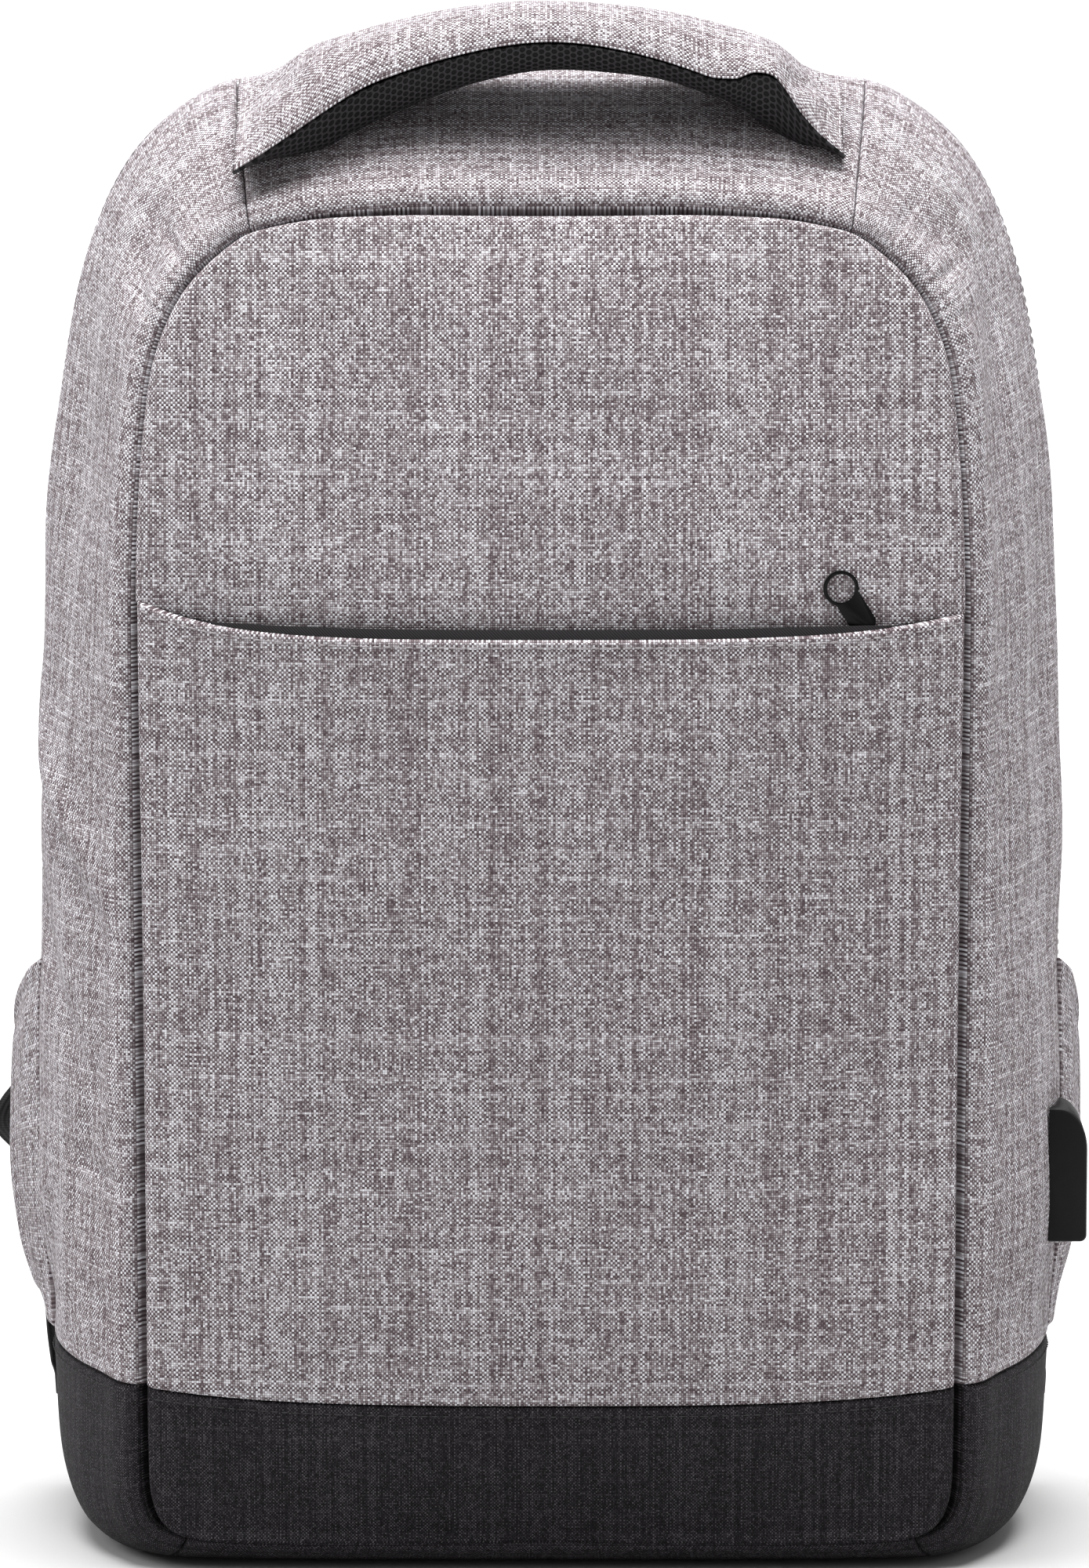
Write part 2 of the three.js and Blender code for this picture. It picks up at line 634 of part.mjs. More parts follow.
// Handle: a padded grey top and an air mesh belly that are sewn together along the front and back edge
const bellyAt = smoothRows(handleRows, "along", "belly");
const handleCross = [-1, -0.86, -0.6, -0.2, 0.2, 0.6, 0.86, 1];
function handleSection(x) {
  const along = Math.abs(x) / handleSpan;
  const top = bodyHeight + handleRise - (handleRise + clothWall) * along ** 2;
  const drops = { front: mix(9.4, 20, along), back: mix(9.4, 6, along) };
  return handleCross.map((c) => {
    const y = handleMiddle + (c * handleWidth) / 2;
    const share = (c + 1) / 2;
    const rest = topHeight(x, y) + 2 * seamGap;
    const edge = Math.max(top - mix(drops.front, drops.back, share), rest + 2 * handleEdge);
    const middleDrop = mix(drops.front, drops.back, 0.5);
    const crown = edge + (middleDrop - handleEdge) * (1 - Math.abs(c) ** 2.5);
    const belly = Math.max(edge - handleEdge - bellyAt(along) * (1 - c ** 6), rest);
    return { y, edge, crown: crown + handleEdge, belly: Math.min(belly, edge - handleEdge) };
  });
}
const handlePlaces = [
  ...handleRows.map((row) => -row.along).reverse(),
  ...handleRows.slice(1).map((row) => row.along),
].map((share) => share * (handleSpan - seamGap));
// The sewn face comes first in both halves, so that their triangles match there
function handleHalf(sewn, free) {
  return loft(
    handlePlaces.map((x) => {
      const section = handleSection(x);
      const near = section.map((p) => vec(x, p.y, sewn(p)));
      const far = section.map((p) => vec(x, p.y, free(p))).reverse();
      return [...near, ...far];
    }),
  );
}
const handlePad = () => handleHalf((p) => p.edge + seamGap / 2, (p) => p.crown);
const handleMesh = () => handleHalf((p) => p.edge - seamGap / 2, (p) => p.belly);

// Side pockets: a cloth wall that stands off the gusset, sewn at its front, back and bottom edge. Its open
// top edge slants down to the back.
const pocketShape = { front: 0.75, back: 1.6, slant: 0.2, pinch: 0.5 };
const pocketUp = [
  { up: 0, swell: 0 },
  { up: 0.1, swell: 0.5 },
  { up: 0.25, swell: 0.85 },
  { up: 0.5, swell: 1 },
  { up: 0.75, swell: 0.95 },
  { up: 0.92, swell: 0.85 },
  { up: 1, swell: 0.8 },
];
function sidePocket(side) {
  const bottom = rearZ(bandTop) * bodyHeight + seamGap;
  const face = (inner) =>
    grid(pocketUp, spread(0, 1, 8), (row, share) => {
      const height = bottom + row.up * sidePocketHeight * (1 - pocketShape.slant * share);
      const place = solve((s) => rearZ(s) * bodyHeight, height, bandTop, slit);
      const across = mix(pocketShape.front, pocketShape.back, share);
      const swell = sidePocketSwell * row.swell * Math.sin(Math.PI * share) ** pocketShape.pinch;
      const lift = 3 * seamGap + (inner ? 0 : sidePocketWall) + swell;
      return gusset(side * place, across, lift);
    });
  return cutBy(wall(face(false), face(true)), bodyEnvelope);
}

// Charging socket: a housing with a round top on the right gusset, open at its flat bottom
const socketFace = (() => {
  const middle = socketBottom + socketHeight / 2;
  const place = solve((s) => rearZ(s) * bodyHeight, middle, bandTop, slit);
  const across = (socketPlace + frontDepth) / (rearSeamDepth + frontDepth);
  return gusset(place, across).x;
})();
const socketMiddle = socketFace + socketStand / 2;
function socketHousing() {
  const root = 6;
  const high = socketBottom + socketHeight;
  const fall = 12.5;
  const corner = 2;
  const bevel = 1.2;
  const outline = new THREE.Shape();
  outline.moveTo(-root, socketBottom);
  outline.lineTo(socketStand - corner, socketBottom);
  outline.absarc(socketStand - corner, socketBottom + corner, corner, -Math.PI / 2, 0, false);
  outline.lineTo(socketStand, high - fall);
  outline.absellipse(0, high - fall, socketStand, fall, 0, Math.PI / 2, false, 0);
  outline.lineTo(-root, high);
  const block = new THREE.ExtrudeGeometry(outline, {
    depth: socketDepth - 2 * bevel,
    bevelThickness: bevel,
    bevelSize: bevel,
    bevelOffset: -bevel,
    bevelSegments: 2,
    curveSegments: 6,
  });
  block.rotateX(Math.PI / 2).translate(socketFace, socketPlace + socketDepth / 2 - bevel, 0);
  const slotAt = vec(socketMiddle, socketPlace, socketBottom);
  const slot = box(socketSlotHeight, socketSlotWidth, 2 * socketSlotDepth, slotAt);
  return fromSolid(toSolid(block).subtract(bodyEnvelope).subtract(toSolid(slot)));
}
function socketShell() {
  const high = socketSlotHeight - 2 * seamGap;
  const wide = socketSlotWidth - 2 * seamGap;
  const long = socketSlotDepth - seamGap;
  const at = vec(socketMiddle, socketPlace, socketBottom + long / 2);
  const outer = toSolid(box(high, wide, long, at));
  const hollow = box(high - 2 * socketShellWall, wide - 2 * socketShellWall, long + 2, at);
  return fromSolid(outer.subtract(toSolid(hollow)));
}
function socketTongue() {
  const thick = 1.8;
  const wide = socketSlotWidth - 3;
  const long = socketSlotDepth - 3 * seamGap;
  const at = vec(socketMiddle, socketPlace, socketBottom + socketSlotDepth - seamGap - long / 2);
  return box(thick, wide, long, at);
}

// Back: a zip tape all round, and a padded panel with an air channel down its middle and two across
const backRail = (inward, depth) => (place) => {
  const point = rearLine(place, inward);
  point.y = depth;
  return point;
};
const panelInset = rearRound + zipTapeWidth + seamGap;
const tapeBack = backEdgeDepth - seamGap;
function mainZipTape() {
  const face = (depth) =>
    wholeLoop.map((place) => [
      backRail(rearRound + seamGap, depth)(place),
      backRail(rearRound + zipTapeWidth, depth)(place),
    ]);
  return wall(face(tapeBack), face(tapeBack - tapeWall), true);
}
const backPlaces = [-1, -0.94, -0.8, -0.55, -0.3, -0.14, -0.07, 0];
const backAcross = [...backPlaces, ...backPlaces.slice(0, -1).reverse().map((a) => -a)];
const backRows = [2, 2.6, 3.4, 4.2, 5, 5.7, 5.85, 6.4, 7, 7.5, 8, 8.55, 8.7, 9.4, 10.4, 11.3, 12];
const channels = [
  { low: 5.7, high: 5.85 },
  { low: 8.55, high: 8.7 },
];
function backLift(a, s) {
  const rim = Math.abs(a) === 1 || s === baseEnd || s === crossSeam;
  if (rim) return clothWall;
  const upright = Math.abs(a) < 0.1;
  const level = channels.some((c) => s >= c.low && s <= c.high) && Math.abs(a) < 0.9;
  return backPad - (upright || level ? padRelief : 0);
}
function backPanel() {
  const rail = backRail(panelInset, backEdgeDepth);
  const face = (lift) =>
    grid(backRows, backAcross, (s, a) => {
      const point = panelPoint(rail, a, s, 0, 0);
      point.y += lift(a, s);
      return point;
    });
  return wall(face(backLift), face(() => 0));
}
function mainZipSlider(side) {
  const body = { wide: 12, high: 7.5, thick: 3 };
  const pull = { long: 26, high: 5.5, thick: 1.6 };
  const middle = rearLine(topMiddle, rearRound + zipTapeWidth / 2).z;
  const out = tapeBack + seamGap;
  const sag = rearLine(topMiddle).z - rearLine(topMiddle - 1).z;
  const at = vec(side * body.wide, out + body.thick / 2, middle - sag / 4);
  const pullAt = vec(side * (body.wide + pull.long / 2), out + body.thick - pull.thick / 2, middle - sag / 3);
  const slider = toSolid(box(body.wide, body.thick, body.high, at));
  return fromSolid(slider.add(toSolid(box(pull.long, pull.thick, pull.high, pullAt))));
}

// Straps
const backFace = backEdgeDepth + backPad;
// The directions across a strap and through it, at one of its points. "start" is its run at the first.
function strapFrame(points, i, start) {
  const ahead = (points[i + 1] ?? points[i]).at;
  const behind = (points[i - 1] ?? points[i]).at;
  const run = i === 0 ? start : ahead.clone().sub(behind).normalize();
  const wide = points[i].wide.clone().addScaledVector(run, -points[i].wide.dot(run)).normalize();
  return { wide, thick: wide.clone().cross(run) };
}
const pillow = (width, thickness) => {
  const corner = 0.3;
  return [
    [-0.5, -corner / 2],
    [-0.4, -0.5],
    [0.4, -0.5],
    [0.5, -corner / 2],
    [0.5, corner / 2],
    [0.4, 0.5],
    [-0.4, 0.5],
    [-0.5, corner / 2],
  ].map(([w, t]) => [w * width, t * thickness]);
};
function strapPoint(row, side) {
  return vec(side * row.across * halfWidth, backFace + row.back, row.up * bodyHeight);
}
function shoulderStrap(side) {
  const points = strapRows.map((row) => ({
    at: strapPoint(row, side),
    wide: vec(1, 0, -side * strapTilt),
    width: row.width * strapWidth,
  }));
  const rings = points.map((point, i) => {
    const { wide, thick } = strapFrame(points, i, vec(0, 1, 0));
    return pillow(point.width, strapPad).map(([w, t]) =>
      point.at.clone().addScaledVector(wide, w).addScaledVector(thick, t),
    );
  });
  return loft(rings);
}
// The anchor patch on the lower rear corner, and the webbing from the strap's end to it
const anchor = { low: 3.9, high: 4.55, front: 1.1, back: 1.9 };
function anchorPatch(side) {
  const places = spread(anchor.low, anchor.high, 3).map((s) => side * s);
  const steps = spread(anchor.front, anchor.back, 4);
  const face = (lift) => grid(places, steps, (place, across) => gusset(place, across, lift));
  return cutBy(wall(face(3 * seamGap + clothWall), face(3 * seamGap)), bodyEnvelope);
}
function strapWebbing(side) {
  const place = side * mix(anchor.low, anchor.high, 0.5);
  const across = mix(anchor.front, anchor.back, 0.5);
  const lift = 4 * seamGap + clothWall + webbingWall / 2;
  const seatWide = gussetNormal(place, across).cross(vec(0, 0, 1));
  seatWide.multiplyScalar(Math.sign(seatWide.x));
  const [before, last] = strapRows.slice(-2).map((row) => strapPoint(row, side));
  const run = last.clone().sub(before).normalize();
  const strapWide = vec(1, 0, -side * strapTilt);
  const bow = side < 0 ? leftBow * halfWidth : 0;
  const points = [
    { at: last.clone().addScaledVector(run, seamGap), wide: strapWide },
    { at: last.clone().addScaledVector(run, webbingStart), wide: strapWide },
    ...webbingRows.map((row, i) => {
      const turned = Math.max(i - 1, 0) / (webbingRows.length - 1);
      const at = strapPoint(row, side);
      at.x += side * bow * Math.sin(Math.PI * turned);
      return { at, wide: vec(1, 0, 0).lerp(seatWide, turned) };
    }),
    { at: gusset(side * anchor.high, across, lift), wide: seatWide },
    { at: gusset(place, across, lift), wide: seatWide },
  ];
  const face = (rise) =>
    points.map((point, i) => {
      const { wide, thick } = strapFrame(points, i, run);
      return [-0.5, 0, 0.5].map((share) =>
        point.at.clone().addScaledVector(wide, share * webbingWidth).addScaledVector(thick, rise),
      );
    });
  return wall(face(webbingWall / 2), face(-webbingWall / 2));
}
function ladderBuckle(side) {
  const [first, second] = webbingRows;
  const start = strapPoint(first, side);
  const end = strapPoint(second, side);
  const run = end.clone().sub(start).normalize();
  const wide = vec(1, 0, 0).addScaledVector(run, -run.x).normalize();
  const out = wide.clone().cross(run);
  if (out.y < 0) out.negate();
  const at = start.clone().lerp(end, 0.5).addScaledVector(out, webbingWall / 2 + seamGap + buckleWall / 2);
  const frameAt = new THREE.Matrix4().makeBasis(wide, run, wide.clone().cross(run)).setPosition(at);
  const long = 3 * buckleBar + 2 * buckleSlot;
  const outer = toSolid(box(webbingWidth + 2 * buckleBar, long, buckleWall, vec(0, 0, 0)));
  const gap = (y) => toSolid(box(webbingWidth, buckleSlot, 2 * buckleWall, vec(0, y, 0)));
  const shift = (buckleBar + buckleSlot) / 2;
  return fromSolid(outer.subtract(gap(shift)).subtract(gap(-shift))).applyMatrix4(frameAt);
}
// The patch at the top of the back that both straps come out of
function strapYoke() {
  const half = strapRows[0].across * halfWidth + strapWidth / 2 + seamGap;
  const middle = strapRows[0].up * bodyHeight - yokeHeight / 5;
  return box(2 * half, clothWall, yokeHeight, vec(0, backFace + seamGap + clothWall / 2, middle));
}

const group = new THREE.Group();
const finishes = {
  heather: { color: 0x98938f, roughness: 0.92, metalness: 0 },
  black: { color: 0x1c1a1c, roughness: 0.85, metalness: 0 },
  mesh: { color: 0x151415, roughness: 0.9, metalness: 0 },
  plastic: { color: 0x19181a, roughness: 0.55, metalness: 0 },
  metal: { color: 0x3a3a3c, roughness: 0.35, metalness: 1 },
};
function add(name, geometry, finish) {
  const mesh = new THREE.Mesh(geometry, new THREE.MeshStandardMaterial(finishes[finish]));
  mesh.name = name;
  group.add(mesh);
}

add("front_upper_panel", upperPanel(), "heather");
add("pocket_panel", pocketPanel(), "heather");
add("pocket_base_panel", frontBand(), "black");
add("pocket_tape_lower", lowerTape(), "black");
add("pocket_tape_upper", upperTape(), "black");
add("pocket_zip_slider", sliderSolid(), "metal");
add("pocket_zip_pull", pullSolid(), "metal");
add("top_gusset", topGusset(), "heather");
add("base_panel", baseGusset(), "black");
for (const [name, side] of [["left", -1], ["right", 1]]) {
  add("side_gusset_" + name, sideGusset(side), "heather");
  add("base_gusset_" + name, cornerGusset(side), "black");
  add("side_pocket_" + name, sidePocket(side), "heather");
}
add("rear_gusset", rearGusset(), "heather");
add("usb_housing", socketHousing(), "plastic");
add("usb_shell", socketShell(), "metal");
add("usb_tongue", socketTongue(), "plastic");
add("main_zip_tape", mainZipTape(), "black");
add("back_panel", backPanel(), "mesh");
add("strap_yoke", strapYoke(), "black");
for (const [name, side] of [["left", -1], ["right", 1]]) {
  add("main_zip_slider_" + name, mainZipSlider(side), "metal");
  add("shoulder_strap_" + name, shoulderStrap(side), "heather");
  add("strap_webbing_" + name, strapWebbing(side), "black");
  add("ladder_buckle_" + name, ladderBuckle(side), "plastic");
  add("anchor_patch_" + name, anchorPatch(side), "black");
}
add("handle_pad", handlePad(), "heather");
add("handle_mesh", handleMesh(), "mesh");

export default group;
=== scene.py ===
# %% [markdown]
# # A grey anti theft backpack, dressed over its frame
# The frame holds the real sizes and the pieces that move. This lesson makes what is seen over them: woven
# cloth, seams, stitches, padding and folds. Every cloth piece is a surface worked out with numpy from the
# same outline as the frame, so that seams meet.

# %% The frame
import math

import bpy
import numpy as np
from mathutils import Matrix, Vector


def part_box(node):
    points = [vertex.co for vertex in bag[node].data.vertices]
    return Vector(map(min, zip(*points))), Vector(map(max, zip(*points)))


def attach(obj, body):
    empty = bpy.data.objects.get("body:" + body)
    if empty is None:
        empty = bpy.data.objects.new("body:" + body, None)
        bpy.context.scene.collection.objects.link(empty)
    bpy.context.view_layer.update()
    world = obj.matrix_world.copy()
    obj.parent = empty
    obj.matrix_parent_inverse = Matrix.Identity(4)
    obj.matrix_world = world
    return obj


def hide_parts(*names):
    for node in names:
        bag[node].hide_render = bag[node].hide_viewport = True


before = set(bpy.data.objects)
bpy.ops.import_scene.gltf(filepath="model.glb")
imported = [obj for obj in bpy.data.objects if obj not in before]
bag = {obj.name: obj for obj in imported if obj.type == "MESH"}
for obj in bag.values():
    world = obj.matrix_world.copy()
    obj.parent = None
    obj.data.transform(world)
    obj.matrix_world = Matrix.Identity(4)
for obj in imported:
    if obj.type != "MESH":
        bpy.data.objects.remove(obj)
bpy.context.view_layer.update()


MM = 0.001
SEAM = 0.3 * MM

# %% [markdown]
# ## Sizes
# The bag's height, width and depth are read from the frame, so that the cloth follows it when it changes.
# Small things such as a thread or the yarn's width are written here.

# %% Sizes of the bag and of its cloth
rear_low, rear_high = [np.array(corner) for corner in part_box("rear_gusset")]
TOP_SHARE = 0.995  # the rear rail's highest point, as a share of the body height
half_width = rear_high[0]
body_height = rear_high[2] / TOP_SHARE
front_depth = -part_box("side_gusset_right")[0][1]
rear_seam = rear_low[1] - SEAM / 2
back_edge = rear_high[1] + SEAM / 2
handle_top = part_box("handle_pad")[1][2]
FRONT_DOME = 9 * MM
POCKET_STAND = 7 * MM
REAR_ROUND = 6 * MM  # the radius that the gusset turns round the rear seam with
ZIP_TAPE = 9 * MM
CLOTH = 2 * MM
YARN, BLACK_YARN = 0.66 * MM, 0.5 * MM
MIDDLE = np.array([0.0, 0.0, body_height * 0.47])
print("body", round(half_width * 2, 4), "wide", round(body_height, 4), "high")

# %% [markdown]
# ## The outline
# The real bag is sewn from panels whose edges run along two lines: the front seam and the rear seam. Here
# each line is a short table of stations from the middle of the base, up the side, to the middle of the top,
# and a cubic that never overshoots runs through them. A circle or a plain spline could do it too, but the
# corners would bulge.

# %% The two lines of the outline
STATIONS = np.array(
    [
        # front x, z, y, rear x, z, turn
        (0.0, 0.02, 1.0, 0.0, 0.0, 9),
        (0.42, 0.02, 0.995, 0.45, 0.0, 9),
        (0.69, 0.023, 0.97, 0.75, 0.0, 9),
        (0.765, 0.034, 0.95, 0.9, 0.013, 5),
        (0.788, 0.065, 0.96, 0.965, 0.055, 3),
        (0.79, 0.128, 0.99, 0.978, 0.131, 2.8),
        (0.791, 0.25, 1.0, 1.0, 0.25, 2.6),
        (0.795, 0.45, 1.0, 1.0, 0.45, 2.2),
        (0.8, 0.6535, 1.0, 0.985, 0.665, 1.7),
        (0.777, 0.8, 0.87, 0.94, 0.815, 1.4),
        (0.722, 0.858, 0.79, 0.885, 0.892, 1.4),
        (0.64, 0.889, 0.73, 0.785, 0.953, 1.5),
        (0.57, 0.903, 0.7, 0.61, 0.99, 1.6),
        (0.4, 0.916, 0.67, 0.42, 0.995, 1.7),
        (0.2, 0.919, 0.655, 0.21, 0.998, 1.7),
        (0.0, 0.919, 0.65, 0.0, 0.998, 1.7),
    ]
)
BASE_END, BAND_TOP, SLIT, CROSS_SEAM, TOP_MIDDLE = 2, 5, 8, 12, 15


def mix(a, b, share):
    """a at share 0, b at share 1, straight between."""
    return a + (b - a) * share


def gentle(share):
    """A share that starts and stops slowly, as a cubic does it."""
    return share * share * (3 - 2 * share)


def smooth(values, x, mirrored=False):
    """A cubic through equally spaced values: each slope is the harmonic mean of its two neighbours' steps."""
    values = np.asarray(values, float)
    steps = np.diff(values)
    before, after = steps[:-1], steps[1:]
    same = before * after > 0
    slopes = np.zeros(len(values))
    slopes[1:-1] = np.where(same, 2 * before * after / np.where(same, before + after, 1), 0)
    if mirrored:
        slopes[0], slopes[-1] = steps[0], steps[-1]
    i = np.clip(np.floor(x).astype(int), 0, len(values) - 2)
    t = np.clip(x - i, 0, 1)
    s = 1 - t
    ends = s * s * (1 + 2 * t) * values[i] + t * t * (3 - 2 * t) * values[i + 1]
    return ends + t * s * s * slopes[i] - t * t * s * slopes[i + 1]


def row_curve(rows, x):
    """The same cubic through rows of (place, value)."""
    places, values = np.array(rows, float).T
    return smooth(values, np.interp(x, places, np.arange(len(places))))


def seam_front(s):
    """The front seam on the right at station s: the table's shares of the half width, depth and height."""
    x = smooth(STATIONS[:, 0], s, True) * half_width
    z = smooth(STATIONS[:, 1], s) * body_height
    return np.stack([x, -smooth(STATIONS[:, 2], s) * front_depth, z], -1)


def seam_rear(s, inward=0.0):
    """The rear seam at station s, moved inwards at a right angle to its run in the bag's plane."""

    def flat(at):
        """The seam's place in the bag's plane: the table's shares of the half width and height."""
        x = smooth(STATIONS[:, 3], at, True) * half_width
        return np.stack([x, smooth(STATIONS[:, 4], at) * body_height], -1)

    step = 0.05
    s = np.asarray(s, float)
    run = flat(np.minimum(s + step, TOP_MIDDLE)) - flat(np.maximum(s - step, 0))
    run[s < step] = (1, 0)
    run[s > TOP_MIDDLE - step] = (-1, 0)
    run /= np.linalg.norm(run, axis=-1, keepdims=True)
    point = flat(s)
    x = point[..., 0] - run[..., 1] * inward
    z = point[..., 1] + run[..., 0] * inward
    return np.stack([x, np.full_like(x, rear_seam), z], -1)


# %% [markdown]
# ## The gusset and the flat panels
# The gusset is the cloth between the two seams, and it turns round the rear seam towards the back. The front
# and back panels fill the loops. A bag is really cut flat and sewn, but a surface between two lines has
# the same shape once it is stuffed, and its size is sure.

# %% Gusset and panel surfaces
FULL_REACH = 1.03  # the gusset is at full width a little before the rear seam
FOLDS = [
    # side, station, across, lean, length, width, depth in mm
    (-1, 7.12, 0.42, 1.5, 0.33, 0.13, 2.6),
    (-1, 7.3, 0.5, 1.4, 0.4, 0.16, -2.2),
    (-1, 6.7, 0.5, 1.1, 0.35, 0.12, 1.4),
    (-1, 6.1, 0.1, 3.0, 0.06, 0.14, 1.6),
    (-1, 10.2, 0.3, 0.2, 0.7, 0.16, 2.0),
    (-1, 8.6, 0.55, 0.1, 0.9, 0.2, 1.8),
    (1, 10.6, 0.25, -0.2, 0.5, 0.14, 2.4),
    (1, 9.2, 0.4, 0.15, 0.7, 0.16, 1.8),
    (1, 7.4, 0.5, 0.2, 1.0, 0.2, 1.6),
    (-1, 6.35, 0.2, -0.25, 0.35, 0.05, 1.6),
    (-1, 5.45, 0.1, 0.5, 0.1, 0.12, 1.2),
    (-1, 9.75, 0.12, 0.3, 0.12, 0.1, 1.6),
    (-1, 10.55, 0.14, 0.6, 0.12, 0.14, 1.5),
    (1, 9.6, 0.1, -0.4, 0.1, 0.12, 1.8),
    (1, 10.15, 0.12, -0.5, 0.1, 0.14, 2.0),
    (1, 11.1, 0.12, -0.5, 0.14, 0.16, 1.4),
    (1, 5.8, 0.75, 0.3, 0.5, 0.1, 1.2),
    (-1, 5.6, 0.6, -0.3, 0.5, 0.12, 1.4),
]


def fold_depth(place, across):
    """A sum of bell shaped dents: each fades along and across, and leans with the station."""
    s = np.abs(place)
    side = np.where(place < 0, -1, 1)
    total = np.zeros(np.broadcast(place, across).shape)
    for fold_side, station, at, lean, length, width, depth in FOLDS:
        up = s - station
        aside = across - at - lean * up
        total += (side == fold_side) * depth * MM * np.exp(-((up / length) ** 2) - (aside / width) ** 2)
    return total * np.sin(np.pi * np.clip(across, 0, 1))


def gusset(place, across):
    """Across 0 to 1 runs from the front to the rear seam, slowing down sideways as a power; 1 to 2 is a
    quarter turn round the rear seam."""
    place, across = np.broadcast_arrays(np.asarray(place, float), np.asarray(across, float))
    s = np.abs(place)
    side = np.where(place < 0, -1.0, 1.0)
    share = np.clip(across - 1, 0, 1) * np.pi / 2
    front, rear = seam_front(s), seam_rear(s, REAR_ROUND * (1 - np.cos(share)) ** 2.2)
    flat = np.clip(across, 0, 1)
    reach = np.minimum(1, FULL_REACH * (1 - (1 - flat) ** smooth(STATIONS[:, 5], s)))
    x = mix(front[..., 0], rear[..., 0], reach) * side
    z = mix(front[..., 2], rear[..., 2], reach)
    y = mix(front[..., 1], rear_seam, flat) + (back_edge - rear_seam) * np.sin(share)
    return np.stack([x, y, z], -1)


def panel(rail, a, s, sag, dome):
    """A panel inside a closed line: a is the share across. Its first and last rows follow the line, the rows
    between hang by sag and stand out by dome in their middle."""
    a, s = np.broadcast_arrays(np.asarray(a, float), np.asarray(s, float))
    edge = rail(s)

    def end_row(first, last, anchor):
        """How far the closed line lies from its anchor where it is a share of the anchor's width wide."""
        places = np.linspace(first, last, 200)
        line = rail(places)
        order = np.argsort(line[:, 0])
        wanted = np.abs(a) * rail(np.array([anchor], float))[0, 0]
        return rail(np.interp(wanted, line[order, 0], places[order])) - rail(np.array([anchor], float))[0]

    low = end_row(0, BASE_END, BASE_END)
    high = end_row(CROSS_SEAM, TOP_MIDDLE, CROSS_SEAM)
    low_share = np.clip((BAND_TOP - s) / (BAND_TOP - BASE_END), 0, 1) ** 2
    high_share = np.clip((s - BAND_TOP - BASE_END) / (CROSS_SEAM - BAND_TOP - BASE_END), 0, 1) ** 2
    y = edge[..., 1] + low[..., 1] * low_share + high[..., 1] * high_share - dome * (1 - a * a)
    z = edge[..., 2] + low[..., 2] * low_share + high[..., 2] * high_share - sag * (1 - a**4)
    return np.stack([a * edge[..., 0], y, z], -1)


DOME_ROWS = [(2, 0), (5, 0.75), (7, 1), (8, 0.75), (10, 0.45), (12, 0)]  # station, share of the dome
SAG_ROWS = [(2, 0), (5, 4.5), (6.5, 4.5), (8, 7), (10, 3.5), (12, 0)]  # station, sag in mm
LEFT_RISE, RISE_REACH = 4 * MM, 0.8  # the hem climbs at its left end, and less so this many stations away


def front(a, s, stand=0.0):
    """The front panel at share a and station s, pushed forward by stand except at its sides. The rise at the
    left is a sixth power of the share and a bell of the station."""
    point = panel(seam_front, a, s, row_curve(SAG_ROWS, s) * MM, row_curve(DOME_ROWS, s) * FRONT_DOME)
    point[..., 1] -= stand * (1 - a**10)
    rise = np.clip(-a, 0, 1) ** 6 * np.exp(-(((s - SLIT) / RISE_REACH) ** 2))
    point[..., 2] += LEFT_RISE * rise
    return point


# %% [markdown]
# ## Making cloth of a grid of points
# Cloth that is sewn turns in at its seams, swells a little beside them and is never quite flat. So each
# grid is moved along its normals: a round roll at chosen edges, slow waves, and puckers that fade away
# from a seam. Its flat lengths become the UV coordinates, in metres, which the weave reads.

# %% Cloth tools
def spaced(low, high, count, crowd=0.8):
    """Values from low to high, closer together near both ends, as a cosine does it."""
    t = np.linspace(0, 1, count)
    return mix(low, high, mix(t, 0.5 - 0.5 * np.cos(np.pi * t), crowd))


def walked(points, axis):
    """The length walked along one axis of a grid of points, from its first line."""
    step = np.linalg.norm(np.diff(points, axis=axis), axis=-1)
    start = np.zeros_like(np.take(step, [0], axis=axis))
    return np.concatenate([start, np.cumsum(step, axis=axis)], axis=axis)


def normals(points, middle=MIDDLE):
    """The cross product of the two differences at each point, turned away from the middle."""
    n = np.cross(np.gradient(points, axis=0), np.gradient(points, axis=1))
    n /= np.maximum(np.linalg.norm(n, axis=-1, keepdims=True), 1e-12)
    return n * np.sign(np.sum(n * (points - middle)))


def roll(distance, radius, depth):
    """A quarter of an ellipse: depth at the edge, nothing from radius on."""
    t = 1 - np.clip(distance / radius, 0, 1)
    return depth * (1 - np.sqrt(np.clip(1 - t * t, 0, 1)))


def waves(u, v, size, seed, count=7):
    """A sum of sine waves in seeded directions, about one in size, for slow unevenness."""
    rng = np.random.default_rng(seed)
    total = np.zeros(np.broadcast(u, v).shape)
    for _ in range(count):
        angle, phase = rng.uniform(0, 2 * np.pi, 2)
        scale = 2 * np.pi / (size * rng.uniform(0.6, 1.7))
        total += np.sin((u * math.cos(angle) + v * math.sin(angle)) * scale + phase)
    return total / math.sqrt(count)


